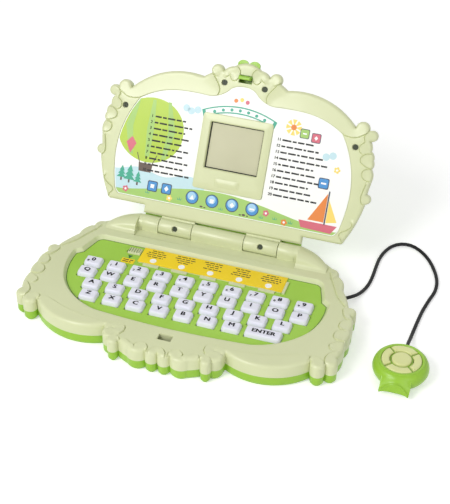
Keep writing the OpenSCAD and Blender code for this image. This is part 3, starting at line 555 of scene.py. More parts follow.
def lid_matrix():
    place = Matrix.Translation((0, HINGE_Y * MM, HINGE_Z * MM))
    return place @ Matrix.Rotation(LEAN, 4, "X")


def on_lid(obj):
    """Leans a piece that was made lying in the lid's own frame."""
    obj.data.transform(lid_matrix())
    return obj


def weld(obj, distance=0.02):
    bm = bmesh.new()
    bm.from_mesh(obj.data)
    bmesh.ops.remove_doubles(bm, verts=bm.verts, dist=distance * MM)
    bm.to_mesh(obj.data)
    bm.free()
    smoothed(obj.data)
    return obj


def stands_for(obj, body, slot, *nodes):
    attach(obj, body)
    if nodes:
        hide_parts(*nodes)
    return obj


# ---- the mouse's cord ---------------------------------------------------------------

CORD_ROUTE = [
    (121, -38, 6), (126, -34.5, 6), (131.5, -29, 5.2), (136.5, -21.5, 3.4), (140.5, -12, 2),
    (143.2, -1, 1.65), (144.2, 12, 1.65), (144.2, 26, 1.65), (144.5, 40, 1.65), (147, 53, 1.65),
    (152, 64, 1.65), (159.5, 70.3, 1.65), (168.5, 71.3, 1.65), (178, 66.5, 1.65), (188, 56, 1.65),
    (196.5, 41, 1.65), (202, 25, 1.65), (203, 10, 1.65), (200, -6, 1.65), (197.3, -22, 1.65),
    (195.8, -38, 1.65), (194.8, -53, 2), (194.4, -63, 3.4), (194.2, -72, 6), (194.2, -80, 8.6),
    (194.2, -87.5, 9.6),
]


def make_cord(material):
    line = smooth_path(CORD_ROUTE, 4)
    curve = bpy.data.curves.new("cord", "CURVE")
    curve.dimensions = "3D"
    curve.bevel_depth = CORD_D / 2 * MM
    curve.bevel_resolution = 5
    curve.use_fill_caps = True
    spline = curve.splines.new("POLY")
    spline.points.add(len(line) - 1)
    for point, p in zip(spline.points, line):
        point.co = (*(p * MM), 1)
    spline.use_smooth = True
    obj = added("cord", curve)
    curve.materials.append(material)
    stands_for(obj, "base", "cord_rubber", "mouse_cord")


# ---- base ---------------------------------------------------------------------------

EDGE_ROLL, WELL_ROLL, STRIP_ROLL, CATCH_ROLL = 3.2, 1.0, 0.8, 0.5
RELIEF_GRID = 1.9
BASE_LINE = outline(BASE_HALF)
WELL_LINE = outline(WELL_HALF, 1.4)
RIM_LOOP = inset(WELL_LINE, -2)
STRIP_EDGE = np.array([(-BLOCK_X, STRIP_Y), (BLOCK_X, STRIP_Y)])
CATCH = np.array([(-6.05, -156.9), (6.05, -156.9), (6.05, -149.5), (-6.05, -149.5)], float)
CATCH_ROOM = np.array([(-14, -158.5), (14, -158.5), (14, -149.4), (-14, -149.4)], float)


def dense(loop, step):
    """Closed loop with extra points on its straight edges."""
    out = []
    for a, b in zip(loop, np.roll(loop, -1, 0)):
        n = max(1, round(np.linalg.norm(b - a) / step))
        out += [a + (b - a) * i / n for i in range(n)]
    return np.array(out)


def ridge_points(ridges, shift=0.0, offsets=(-1.1, -0.6, -0.3, 0.0, 0.35, 1.0, 2.4)):
    """Points beside the relief's edges, on both sides of the middle, to carry its steps."""
    found = []
    for path, _, _ in ridges:
        line = smooth_path(path, 0.6)
        along = np.gradient(line, axis=0)
        along /= np.linalg.norm(along, axis=1)[:, None]
        right = np.stack([along[:, 1], -along[:, 0]], 1)
        for d in offsets:
            found.append(line + right * d)
    p = np.vstack(found)
    p = p[p[:, 0] > 0.2]
    p = np.vstack([p, p * (-1, 1)])
    p[:, 1] += shift
    return p


def thinned(points, gap):
    """Points with those that fall in an already used cell left out."""
    cells = np.round(points / gap).astype(int)
    _, first = np.unique(cells, axis=0, return_index=True)
    return points[np.sort(first)]


def base_height(p):
    z = RIM_LOW + relief(p, BASE_LINE, BASE_RIDGES, BASE_GROOVES)
    z = z - rolled(near(p, BASE_LINE, True)[0], EDGE_ROLL)
    z = z - rolled(near(p, RIM_LOOP, True)[0], WELL_ROLL)
    z = z - rolled(near(p, STRIP_EDGE, False)[0], STRIP_ROLL)
    return z - rolled(near(p, CATCH, True)[0], CATCH_ROLL)


def flat(outer, holes, z, up, grid=8):
    pts, tris = triangulated(outer, holes, grid)
    if not up:
        tris = tris[:, ::-1]
    return np.column_stack([pts, np.full(len(pts), z)]), [tuple(t) for t in tris]


def wall(loop, low, high, outward=True):
    """Upright wall on a loop between two heights, each one number or one per point."""
    n = len(loop)
    rings = [np.column_stack([loop, np.broadcast_to(z, n)]) for z in (low, high)]
    verts, faces = rings_mesh(rings, cap_start=False, cap_end=False)
    return verts, faces if outward else turned(faces)


def flat_ring(outer, inner, low, high):
    """Parts of a closed flat ring between two loops and two heights."""
    return [wall(outer, low, high), wall(inner, low, high, outward=False),
            flat(outer, [inner], high, up=True), flat(outer, [inner], low, up=False)]


def stack(rings, outward=True, cap_low=False, cap_high=False):
    """Skin over (loop, z) pairs from the bottom up."""
    made = [np.column_stack([l, np.broadcast_to(z, len(l))]) for l, z in rings]
    verts, faces = rings_mesh(made, cap_start=cap_low, cap_end=cap_high)
    return verts, faces if outward else turned(faces)


def surfaced(outer, holes, height, grid, rings, extra, hole_rings=()):
    """Top surface over a region, shaped by a height function."""
    ok = inside(extra, outer) & (near(extra, outer, True)[0] > 0.25)
    for h in holes:
        ok &= ~inside(extra, h) & (near(extra, h, True)[0] > 0.35)
    extra = extra[ok]
    for h in holes:
        for d in hole_rings:
            ring = inset(h, -d)
            extra = np.vstack([extra, ring[inside(ring, outer)]])
    pts, tris = triangulated(outer, holes, grid, rings, thinned(extra, 0.35))
    return np.column_stack([pts, height(pts)]), [tuple(t) for t in tris]


def make_base_top(mat):
    back = (np.abs(BASE_LINE[:, 0]) < BLOCK_X + 0.01) & (BASE_LINE[:, 1] > 4.9)
    k0, k1 = np.flatnonzero(back)[[0, -1]]
    notch = np.array([(BLOCK_X, 5), (BLOCK_X, STRIP_Y), (-BLOCK_X, STRIP_Y), (-BLOCK_X, 5)])
    notch = dense(notch, 2)
    notch = notch[: np.flatnonzero(np.abs(notch - (-BLOCK_X, 5)).sum(1) < 1e-6)[0] + 1]
    outer = np.vstack([BASE_LINE[:k0], notch, BASE_LINE[k1 + 1 :]])
    catch = dense(CATCH, 1)
    room = dense(CATCH_ROOM, 2)
    top = surfaced(outer, [RIM_LOOP, catch], base_height, RELIEF_GRID, (0.25, 0.7, 1.3, 2.1, 3.1),
                   ridge_points(BASE_RIDGES), (0.25, 0.6, 1.0))
    parts = [
        top,
        wall(outer, SEAM_Z, base_height(outer)),
        flat(outer, [WELL_LINE, room], SEAM_Z, up=False),
        stack([(WELL_LINE, SEAM_Z), (WELL_LINE, DECK_Z - 0.4),
               (inset(WELL_LINE, -0.25), DECK_Z + 0.2), (inset(WELL_LINE, -1.6), RIM_LOW - 1.6),
               (RIM_LOOP, base_height(RIM_LOOP))], outward=False),
        wall(catch, RIM_LOW - WALL, base_height(catch), outward=False),
        flat(room, [catch], RIM_LOW - WALL, up=False),
        wall(room, SEAM_Z, RIM_LOW - WALL, outward=False),
    ]
    obj = weld(make_object("base_top_shell", *joined(parts), mat["pale"]))
    stands_for(obj, "base", "pale_shell", "base_top")
    housing = cropped("base_top", "hinge_housing", mat["pale"],
                      [((BLOCK_X - 0.03, 0, 0), (1, 0, 0)), ((0.03 - BLOCK_X, 0, 0), (-1, 0, 0)),
                       ((0, STRIP_Y + 0.03, 0), (0, -1, 0)), ((0, 0, SEAM_Z), (0, 0, -1))])
    stands_for(housing, "base", "pale_shell", "base_top")
    for side, name in ((1, "right"), (-1, "left")):
        make_shoulder(side, name, mat["pale"])
        make_barrel_end(side, name, mat["pale"])


SHOULDER_STEPS = 16
SHOULDER_END = 107


def make_shoulder(side, name, material):
    """Raised shoulder beside the hinge barrel, sinking into the rim outwards."""
    foot, edge, low = STRIP_Y + 0.4, HINGE_Y - LID_V, RIM_LOW - 1.2
    inner = [(1.7, RIM_Z), (1.2, RIM_Z + 3), (-2, RIM_Z + 7), (-8, RIM_Z + 8.7), (-15, RIM_Z + 8.2),
             (-20, RIM_Z + 5.6), (edge + 0.7, RIM_Z + 1), (foot, RIM_LOW - 0.2)]
    outer = [(-15.3, RIM_LOW - 0.6), (-15.6, RIM_LOW + 0.2), (-16.6, RIM_LOW + 1.2),
             (-18, RIM_LOW + 1.5), (-19.4, RIM_LOW + 1.4), (-21, RIM_LOW + 1.1),
             (edge, RIM_LOW + 0.7), (foot, RIM_LOW - 0.4)]
    inner, outer = through(inner, 4), through(outer, 4)
    rings = []
    for k in range(SHOULDER_STEPS + 1):
        t = k / SHOULDER_STEPS
        x = BLOCK_X - 0.02 + (SHOULDER_END - BLOCK_X) * t
        section = inner + (outer - inner) * (0.45 * t + 0.55 * t**3)
        section = np.vstack([section, (section[-1][0], low), (section[0][0], low)])
        rings.append([(side * x, p[0], p[1]) for p in section])
    verts, faces = rings_mesh(rings)
    faces = turned(faces) if side < 0 else faces
    obj = make_object("hinge_shoulder_" + name, verts, faces, material)
    stands_for(obj, "base", "pale_shell", "base_top")


def make_barrel_end(side, name, material):
    """End of the hinge barrel, which closes the slot beside its shoulder."""
    turn = np.radians(np.linspace(-32, 180, 40))
    section = [(HINGE_Y + BARREL_R * math.cos(t), HINGE_Z + BARREL_R * math.sin(t)) for t in turn]
    section += [(HINGE_Y - BARREL_R, SHELF_Z - 0.3), (section[0][0], SHELF_Z - 0.3)]
    rings = [[(side * x, y, z) for y, z in section] for x in (BARREL_X - 0.3, BLOCK_X - 0.01)]
    verts, faces = rings_mesh(rings)
    faces = turned(faces) if side < 0 else faces
    obj = make_object("barrel_end_" + name, verts, faces, material)
    stands_for(obj, "base", "pale_shell", "base_top")


def rounded(obj, width):
    bevel = obj.modifiers.new("edges", "BEVEL")
    bevel.width = width * MM
    bevel.segments = 3
    bevel.limit_method = "ANGLE"
    bevel.angle_limit = math.radians(32)
    bevel.harden_normals = True
    bevel.use_clamp_overlap = True
    return obj


def cad_copy(node, name, material):
    """New object with a CAD node's shape, its doubled corners welded and flat faces merged."""
    bm = bmesh.new()
    bm.from_mesh(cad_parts[node].data)
    bmesh.ops.remove_doubles(bm, verts=bm.verts, dist=0.002 * MM)
    bmesh.ops.dissolve_limit(bm, angle_limit=math.radians(1), verts=bm.verts, edges=bm.edges)
    mesh = bpy.data.meshes.new(name)
    bm.to_mesh(mesh)
    bm.free()
    mesh.shade_smooth()
    return paint(added(name, mesh), material)


def evaluated(obj):
    """New mesh of an object as its modifiers or letters make it."""
    graph = bpy.context.evaluated_depsgraph_get()
    return bpy.data.meshes.new_from_object(obj.evaluated_get(graph))


def cropped(node, name, material, planes, edge=0.4):
    """Softened part of a CAD node, on the inner side of planes (point, outward normal)."""
    obj = rounded(cad_copy(node, name, material), edge)
    shape = evaluated(obj)
    obj.modifiers.clear()
    obj.data = shape
    bm = bmesh.new()
    bm.from_mesh(shape)
    for point, normal in planes:
        bmesh.ops.bisect_plane(bm, geom=bm.verts[:] + bm.edges[:] + bm.faces[:], dist=1e-7,
                               plane_co=Vector(point) * MM, plane_no=normal, clear_outer=True)
        rim = [e for e in bm.edges if e.is_boundary]
        bmesh.ops.holes_fill(bm, edges=rim)
    bm.to_mesh(shape)
    bm.free()
    smoothed(shape)
    return obj


def softened(node, name, body, slot, material, edge):
    obj = rounded(cad_copy(node, name, material), edge)
    return stands_for(obj, body, slot, node)


POSTS = [(115.5, -78), (62, -133)]
SPEAKER = (58, -96)


def polar(x, y, r, a):
    """Point at a distance and an angle from (x, y)."""
    return x + r * math.cos(a), y + r * math.sin(a)


def circle(x, y, r, n=32):
    t = np.arange(n) * 2 * math.pi / n
    return np.stack([x + r * np.cos(t), y + r * np.sin(t)], 1)


def corner_arcs(corners, n):
    """Points round four corners (x, y, radius), from the right front one counter-clockwise."""
    out = []
    for (x, y, r), a in zip(corners, (-90, 0, 90, 180)):
        for i in range(n + 1):
            t = math.radians(a + 90 * i / n)
            out.append((x + r * math.cos(t), y + r * math.sin(t)))
    return np.array(out)


def rectangle(x0, x1, y0, y1, r=0.0):
    if not r:
        return np.array([(x0, y0), (x1, y0), (x1, y1), (x0, y1)], float)
    return corner_arcs([(x1 - r, y0 + r, r), (x1 - r, y1 - r, r), (x0 + r, y1 - r, r),
                        (x0 + r, y0 + r, r)], 5)


def box_mm(node):
    """A node's lowest and highest corner in millimetres."""
    return [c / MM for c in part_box(node)]


FLOOR_T = 2.2
BAY_GAP = 0.3


def make_base_bottom(mat):
    side = inset(BASE_LINE, SHELL_STEP)
    foot = inset(BASE_LINE, PLINTH_INSET)
    hollow = inset(BASE_LINE, SHELL_STEP + 1.8)
    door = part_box("battery_door")
    bay = rectangle(door[0].x / MM - BAY_GAP, door[1].x / MM + BAY_GAP,
                    door[0].y / MM - BAY_GAP, door[1].y / MM + BAY_GAP)
    holes = [dense(bay, 6)]
    for x, y in POSTS:
        holes += [circle(x, y, 3.3), circle(-x, y, 3.3)]
    for i in range(-2, 3):
        half = 11 - 2 * abs(i)
        y = SPEAKER[1] + i * 4.4
        holes.append(rectangle(SPEAKER[0] - half, SPEAKER[0] + half, y - 0.9, y + 0.9, 0.85))
    parts = [
        stack([(inset(BASE_LINE, PLINTH_INSET + 0.3), 0), (foot, 0.3), (foot, PLINTH_Z),
               (inset(BASE_LINE, SHELL_STEP + 0.7), PLINTH_Z + 0.1),
               (inset(BASE_LINE, SHELL_STEP + 0.2), PLINTH_Z + 0.8), (side, PLINTH_Z + 1.8),
               (side, SEAM_Z)]),
        flat(inset(BASE_LINE, PLINTH_INSET + 0.3), holes, 0, up=False),
        flat(side, [hollow], SEAM_Z, up=True),
        wall(hollow, FLOOR_T, SEAM_Z, outward=False),
        flat(hollow, holes, FLOOR_T, up=True),
    ]
    parts += [wall(h, 0, FLOOR_T, outward=False) for h in holes]
    obj = weld(make_object("base_bottom_shell", *joined(parts), mat["bright"]))
    stands_for(obj, "base", "bright_shell", "base_bottom")


# ---- keys and deck ----------------------------------------------------------------------

KEY_LIP = 0.9
KEY_DISH = 0.28
INK_SINK = 0.3
INK_T = 0.32
KEY_ROWS = ["0123456789", "QWERTYUIOP", "ASDFGHJKL", "ZXCVBNM"]
SMALL_MARKS = "8123456789"


def key_ring(w, d, corner):
    """Ring of a key cap: tight back corners and wide front corners."""
    front = min(3.4, d * 0.3)
    return dense(corner_arcs([(w / 2 - front, -d / 2 + front, front),
                              (w / 2 - corner, d / 2 - corner, corner),
                              (-w / 2 + corner, d / 2 - corner, corner),
                              (-w / 2 + front, -d / 2 + front, front)], 7), 2.2)


def make_key(node, mat):
    """Crowned key cap with a dished top and its legend."""
    low, high = box_mm(node)
    cx, cy = (low.x + high.x) / 2, (low.y + high.y) / 2
    w, d = high.x - low.x - 2 * KEY_LIP, high.y - low.y - 2 * KEY_LIP
    top = high.z
    levels = [
        (0.0, low.z), (0.0, DECK_Z + 0.5), (0.12, DECK_Z + 1.0), (0.75, top - 1.0),
        (1.0, top - 0.55), (1.4, top - 0.22), (1.95, top - 0.05), (2.6, top),
    ]
    whole = key_ring(w, d, 1.6)
    rings = []
    for off, z in levels:
        ring = key_ring(w - 2 * off, d - 2 * off, max(0.8, 1.8 - off * 0.3))
        if len(ring) != len(whole):
            ring = whole * ((w - 2 * off) / w, (d - 2 * off) / d)
        rings.append(at_z(ring + (cx, cy), z))
    verts, faces = rings_mesh(rings, cap_end=False)
    n = len(rings[0])
    inner = np.array(rings[-1])
    for s in (0.66, 0.33):
        ring = np.array([(cx, cy, 0)]) + (inner - (cx, cy, 0)) * (s, s, 1)
        ring[:, 2] = top - KEY_DISH * (1 - s * s)
        k = len(verts)
        verts += [tuple(p) for p in ring]
        faces += [(k - n + i, k - n + (i + 1) % n, k + (i + 1) % n, k + i) for i in range(n)]
    verts.append((cx, cy, top - KEY_DISH))
    k = len(verts) - 1
    faces += [(k - n + i, k - n + (i + 1) % n, k) for i in range(n)]
    obj = make_object("cap_" + node, verts, faces, mat["key"], sharp=50)
    stands_for(obj, node, "key_plastic", node)
    is_enter = node == "key_enter"
    label = "ENTER" if is_enter else node[-1]
    size, lift = (4.4, 0.2) if is_enter else (4.6, 0.8)
    mark = lettering("legend_" + node, label, (cx, cy + lift, top - INK_SINK), size, mat["ink"],
                     thick=INK_T, wide=1.15, bold=0.5)
    stands_for(mark, node, "key_plastic")
    if label.isdigit():
        place = (cx - w * 0.26, cy - d * 0.16, top - INK_SINK)
        small = lettering("small_mark_" + node, SMALL_MARKS[int(label)], place, 2.6, mat["ink"],
                          thick=INK_T, wide=1.1, bold=0.2)
        stands_for(small, node, "key_plastic")


def lettering(name, text, place, size, material, thick=0.1, wide=1.0, bold=0.0):
    """Solid letters lying flat, of a height in mm; bold widens the upright strokes in mm."""
    data = bpy.data.curves.new(name, "FONT")
    data.body = text
    data.align_x = "CENTER"
    data.align_y = "CENTER"
    data.size = size * 1.38 * MM
    data.extrude = thick / 2 * MM
    data.resolution_u = 3
    shape = added(name + "_text", data)
    bpy.context.view_layer.update()
    mesh = evaluated(shape)
    bpy.data.objects.remove(shape)
    x, y, z = place
    mesh.transform(Matrix.Translation((x * MM, y * MM, (z + thick / 2) * MM))
                   @ Matrix.Diagonal((wide, 1, 1, 1)))
    if bold:
        bm = bmesh.new()
        for shift in (-bold / 2, 0, bold / 2):
            mesh.transform(Matrix.Translation((shift * MM, 0, 0)))
            bm.from_mesh(mesh)
            mesh.transform(Matrix.Translation((-shift * MM, 0, 0)))
        bm.to_mesh(mesh)
        bm.free()
    return paint(added(name, mesh), material)


def prism(points, low, high):
    """Closed prism of a simple polygon given counter-clockwise."""
    points = np.asarray(points, float)
    x, y = points[:, 0], points[:, 1]
    if (x * np.roll(y, -1) - y * np.roll(x, -1)).sum() < 0:
        points = points[::-1]
    n = len(points)
    verts = at_z(points, low) + at_z(points, high)
    edges = [(i, (i + 1) % n) for i in range(n)]
    sides = [(i, j, n + j, n + i) for i, j in edges]
    cdt = delaunay_2d_cdt([Vector(p) for p in points], edges, [], 1, 1e-6)
    caps = [tuple(f) for f in cdt[2] if max(f) < n]
    return verts, sides + turned(caps) + [tuple(n + i for i in f) for f in caps]


class Prints:
    """Thin printed shapes gathered by colour, each colour one piece."""

    def __init__(self, name, body, slot, place=None):
        self.name, self.body, self.slot, self.place = name, body, slot, place
        self.shapes = {}

    def add(self, colour, points, low, high):
        self.shapes.setdefault(colour, []).append(prism(points, low, high))

    def make(self, mat):
        for colour, shapes in self.shapes.items():
            obj = make_object(f"{self.name}_{colour}", *joined(shapes), mat[colour], smooth=False)
            if self.place:
                obj.data.transform(self.place)
            stands_for(obj, self.body, self.slot)


WORDS = [5, 3, 6, 4, 7, 3, 5, 6, 2, 5, 4, 6, 3, 7, 4, 5]
PRINT_SINK = 0.02


def word_bars(prints, x, y, length, height, low, high, first):
    """Row of short bars that stands for a line of small print, from one of WORDS on."""
    done, k = 0.0, first
    while done < length:
        w = min(WORDS[k % len(WORDS)] * height * 0.8, length - done)
        if w > height:
            bar = rectangle(x + done, x + done + w, y - height / 2, y + height / 2)
            prints.add("ink", bar, low, high)
        done += w + height * 0.9
        k += 1


def make_deck(mat):
    for node, look in (("key_deck", "deck"), ("circuit_board", "board"),
                       ("key_membrane", "rubber")):
        paint(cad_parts[node], mat[look])
    softened("battery_door", "bay_cover", "base", "bright_shell", mat["bright"], 0.4)
    softened("card_tray", "tray", "base", "pale_shell", mat["pale"], 0.25)
    softened("mode_card", "card", "base", "card", mat["card"], 0.2)
    softened("power_slider", "slider_knob", "slider", "pale_shell", mat["pale"], 0.3)
    # Painted shade: a thin dark green ring along the deck's edge stands for the shade in the gap
    # between the deck and the rim's wall
    inner, low, high = inset(WELL_LINE, 0.5), DECK_Z - 0.1, DECK_Z + 0.1
    parts = [wall(inner, low, high, outward=False), flat(WELL_LINE, [inner], high, up=True)]
    seam = make_object("deck_seam", *joined(parts), mat["seam"])
    stands_for(seam, "base", "bright_shell")
    make_card_print(mat)
    low, high = box_mm("power_slider")
    # Painted shade: thin dark green strips on the knob stand for the shade between its ribs
    ribs = Prints("slider_ribs", "slider", "pale_shell")
    for x in np.linspace(low.x + 1.6, high.x - 1.6, 5):
        rib = rectangle(x - 0.2, x + 0.2, low.y + 0.9, high.y - 0.9)
        ribs.add("seam", rib, high.z - PRINT_SINK, high.z + 0.06)
    ribs.make(mat)


def make_card_print(mat):
    """White discs and word bars on the card, and the label beside the slider."""
    low, high = box_mm("mode_card")
    prints = Prints("card_print", "base", "card")
    pitch = (high.x - low.x) / 5
    sunk = high.z - PRINT_SINK
    for i in range(5):
        x = low.x + pitch * (i + 0.5)
        prints.add("white", circle(x, low.y + 4.6, 3.0), sunk, high.z + 0.25)
        for k in range(4):
            wide = [11, 17, 19, 15][(k + i) % 4]
            y = high.y - 2.6 - 2.9 * k
            word_bars(prints, x - wide / 2, y, wide, 1.0, sunk, high.z + 0.04, 3 * i + k)
    x0, x1, y0 = low.x - 15, low.x - 2.6, low.y + 2.2
    sunk, label = DECK_Z - PRINT_SINK, DECK_Z + 0.4
    prints.add("card", rectangle(x0, x1, y0 - 6.6, y0, 0.6), sunk, label)
    for k in range(2):
        y = y0 - 2.0 - 2.6 * k
        word_bars(prints, x0 + 1.4, y, 9.4, 1.1, DECK_Z + 0.35, DECK_Z + 0.45, 2 + 5 * k)
    arrow = [(x0 + 3.4, y0 + 5.2), (x0 + 8, y0 + 5.2), (x0 + 5.7, y0 + 0.6)]
    prints.add("board", arrow, sunk, DECK_Z + 0.3)
    prints.make(mat)


# ---- lid ----------------------------------------------------------------------------------

LID_LINE = outline(LID_HALF, shift=(0, LID_V))
PRINT_LINE = outline(PRINT_HALF, 1.2, shift=(0, LID_V))
LID_HOLLOW_HALF = [
    (0, 3, 0), (111, 3, 0), (125, 41, 0), (125.6, 60, 0), (124, 78, 0), (119.6, 97, 0.10),
    (106, 103.4, 0.25), (38, 125, 0), (27, 135, 0), (11, 139, 0), (0, 143, 0),
]
LID_HOLLOW = outline(LID_HOLLOW_HALF, 2.5, shift=(0, LID_V))
BEZEL = rectangle(-33.5, 33.5, LID_V + 26, LID_V + 96.5, 2.5)
WINDOW = rectangle(-25.5, 25.5, LID_V + 46, LID_V + 89, 0.8)
SLOT = rectangle(-6.25, 6.25, LID_V + 128.4, LID_V + 135.5)
SCREWS = [(19.2, 126), (110.5, 89.5), (-19.2, 126), (-110.5, 89.5)]
LID_ROLL, OPENING_ROLL = 2.6, 0.4
WELL_R = 3.0
WELL_LOW = LID_LOW - 1.8
PLATE = rectangle(-13, 10.5, LID_V + 30, LID_V + 38, 0.8)


def lid_height(p):
    z = LID_LOW + relief(p, LID_LINE, LID_RIDGES, shift=LID_V)
    z = z - rolled(near(p, LID_LINE, True)[0], LID_ROLL)
    z = z - rolled(near(p, PRINT_LINE, True)[0], OPENING_ROLL)
    return z - rolled(near(p, SLOT, True)[0], OPENING_ROLL)


def lid_piece(name, parts, material, slot, *nodes):
    """Welded piece made lying in the lid's own frame, leaned and riding on the lid."""
    obj = weld(on_lid(make_object(name, *joined(parts), material)))
    return stands_for(obj, "lid", slot, *nodes)


def make_lid_frame(mat):
    ceiling = RECESS_W - WALL
    slot, bezel = dense(SLOT, 1), dense(BEZEL, 3)
    window, plate = dense(WINDOW, 3), dense(PLATE, 2)
    bezel_top, window_top, plate_top = inset(bezel, 0.5), inset(window, -0.9), inset(plate, 0.2)
    wells = [circle(x, v + LID_V, WELL_R, 28) for x, v in SCREWS]
    top = surfaced(LID_LINE, [PRINT_LINE, slot] + wells, lid_height, RELIEF_GRID,
                   (0.25, 0.7, 1.3, 2.1), ridge_points(LID_RIDGES, LID_V), (0.3,))
    parts = [
        top,
        wall(LID_LINE, BACK_W, lid_height(LID_LINE)),
        flat(LID_LINE, [LID_HOLLOW], BACK_W, up=False),
        wall(LID_HOLLOW, BACK_W, ceiling, outward=False),
        flat(LID_HOLLOW, [slot, window], ceiling, up=False),
        wall(slot, ceiling, lid_height(slot), outward=False),
        wall(PRINT_LINE, RECESS_W, lid_height(PRINT_LINE), outward=False),
        flat(PRINT_LINE, [bezel], RECESS_W, up=True),
        stack([(bezel, RECESS_W), (bezel, FACE_W - 0.4), (inset(bezel, 0.15), FACE_W - 0.12),
               (bezel_top, FACE_W)]),
        flat(bezel_top, [window_top, plate], FACE_W, up=True),
        stack([(plate, FACE_W), (plate, FACE_W + 0.2), (plate_top, FACE_W + 0.3)]),
        flat(plate_top, [], FACE_W + 0.3, up=True),
        stack([(window, ceiling), (window, FACE_W - 1.0), (window_top, FACE_W)], outward=False),
    ]
    for loop in wells:
        parts += [wall(loop, WELL_LOW, lid_height(loop), outward=False),
                  flat(loop, [], WELL_LOW, up=True)]
    lid_piece("lid_frame", parts, mat["pale"], "pale_shell", "lid_inner_frame")
    place = lid_matrix()
    edge = place @ Vector((0, (TONGUE_V + 0.3) * MM, 0))
    normal = place.to_3x3() @ Vector((0, 1, 0))
    arms = cropped("lid_inner_frame", "hinge_arms", mat["pale"], [(edge / MM, normal)])
    stands_for(arms, "lid", "pale_shell", "lid_inner_frame")


def make_screws(mat):
    on_face = [screw_head(x, v + LID_V, LID_LOW - 1.75, 2.5) for x, v in SCREWS]
    on_arms = [screw_head(ARM_X * s, 0, BARREL_R - 2.35, 2.3) for s in (1, -1)]
    for name, parts in (("lid_screws", on_face), ("hinge_screws", on_arms)):
        obj = on_lid(make_object(name, *joined(parts), mat["steel"]))
        stands_for(obj, "lid", "pale_shell")


def screw_head(x, y, z, r):
    """Flat screw head with a cross recess between four raised quarters."""
    parts = []
    slot = 0.42
    for a in np.radians([0, 90, 180, 270]):
        rim = [polar(0, 0, r, a + math.radians(t)) for t in np.linspace(12, 78, 8)]
        c, s = math.cos(a), math.sin(a)
        pts = np.array([(slot * (c - s), slot * (s + c))] + rim)
        parts.append(prism(pts + (x, y), z, z + 0.7))
    parts.append(prism(circle(x, y, r, 28), z, z + 0.25))
    return joined(parts)


def make_lid_cover(mat):
    low = TONGUE_V - LID_V - COVER_DROP
    half = [(x, low if y < 0 else y, bulge) for x, y, bulge in LID_HALF]
    line = inset(outline(half, shift=(0, LID_V)), SHELL_STEP)

    def height(p):
        crown = 0.4 * np.clip(near(p, line, True)[0] / 30, 0, 1)
        return -(OUTER_W + 0.4 - crown) - rolled(near(p, line, True)[0], 4.2)

    pts, tris = triangulated(line, [], 5, (0.3, 0.9, 1.7, 2.7, 4.0))
    back = (np.column_stack([pts, -height(pts)]), [tuple(t[::-1]) for t in tris])
    parts = [
        back,
        wall(line, -height(line), BACK_W),
        flat(line, [LID_HOLLOW], BACK_W, up=True),
        wall(LID_HOLLOW, OUTER_W + WALL, BACK_W, outward=False),
        flat(LID_HOLLOW, [], OUTER_W + WALL, up=True),
    ]
    lid_piece("lid_cover", parts, mat["bright"], "bright_shell", "lid_outer_cover")


def make_display(mat):
    top = RECESS_W - WALL
    glass = rectangle(-28, 28, LID_V + 43, LID_V + 92)
    verts, faces = stack([(glass, top - 1.6), (glass, top)], cap_low=True, cap_high=True)
    obj = on_lid(make_object("display_glass", verts, faces, mat["glass"]))
    stands_for(obj, "lid", "display", "lcd_screen")
    # Painted shadow: a near-black ring at the window's edge stands for the shade on its inner walls
    inner, outer = inset(dense(WINDOW, 3), 0.9), inset(dense(WINDOW, 3), -0.2)
    lid_piece("display_edge", flat_ring(outer, inner, top, top + 0.5), mat["dark"], "display")


def make_print(mat):
    low = RECESS_W
    high = low + 0.5
    line, bezel = inset(PRINT_LINE, 0.3), inset(dense(BEZEL, 3), -0.3)
    parts = flat_ring(line, bezel, low, high)
    lid_piece("printed_sheet", parts, mat["sheet"], "print", "lid_print_panel")
    art = Prints("picture", "lid", "print", lid_matrix())
    draw_picture(art, high)
    art.make(mat)


# Half width and foot of the printed area, height of one layer of ink, and the numbered lines
SHEET_X, SHEET_FOOT = 116, 4
LAYER = 0.05
LINES, LINE_TOP, LINE_PITCH = 10, 84, 5.65
# White marks in the badges: triangle, square, diamond and bar
MARKS = [
    [(-2.2, -1.8), (2.2, -1.8), (0, 2.4)],
    [(-1.8, -1.8), (1.8, -1.8), (1.8, 1.8), (-1.8, 1.8)],
    [(0, -2.6), (2.2, 0), (0, 2.6), (-2.2, 0)],
    [(-2.4, -0.8), (2.4, -0.8), (2.4, 0.8), (-2.4, 0.8)],
]


def clipped(points, loop):
    """Polygon pulled inside a loop by moving stray points to the loop's nearest point."""
    points = dense(np.asarray(points, float), 1.5)
    out = ~inside(points, loop)
    for i in np.flatnonzero(out):
        k = ((loop - points[i]) ** 2).sum(1).argmin()
        points[i] = loop[k]
    keep = np.linalg.norm(points - np.roll(points, 1, 0), axis=1) > 0.05
    return points[keep]


def draw_picture(art, z):
    """Hills, water, a balloon, a boat, badges and numbered lines on the lid's sheet."""
    edge = inset(PRINT_LINE, 1.0)

    def put(colour, points, layer, cut=False):
        points = np.asarray(points, float) + (0, LID_V)
        points = clipped(points, edge) if cut else points
        art.add(colour, points, z - PRINT_SINK, z + LAYER * layer)

    def lay(colour, points, layer):
        put(colour, points, layer, cut=True)

    t = np.linspace(-SHEET_X, SHEET_X, 80)
    left = t[t < -22]
    water = np.stack([left, 32 + 2.5 * np.sin(left / 8)], 1)
    lay("sky", np.vstack([[(-SHEET_X, SHEET_FOOT), (-22, SHEET_FOOT)], water[::-1]]), 1)
    hill = np.stack([t, 17.5 + 7.5 * np.cos((t + 8) / 38)], 1)
    lay("lawn", np.vstack([[(-SHEET_X, SHEET_FOOT), (SHEET_X, SHEET_FOOT)], hill[::-1]]), 2)
    draw_balloon(lay)
    draw_boat_and_flowers(lay, put)
    draw_trees(put)
    draw_ribbon(lay, put)
    draw_badges(put)
    for k in range(LINES):
        v = LINE_TOP - LINE_PITCH * k + LID_V
        for x, length, first in ((-79.5, 30 + (k * 7) % 13, k), (43.5, 30 + (k * 5) % 17, k + 4)):
            word_bars(art, x, v, length, 1.5, z - PRINT_SINK, z + 0.24, first)


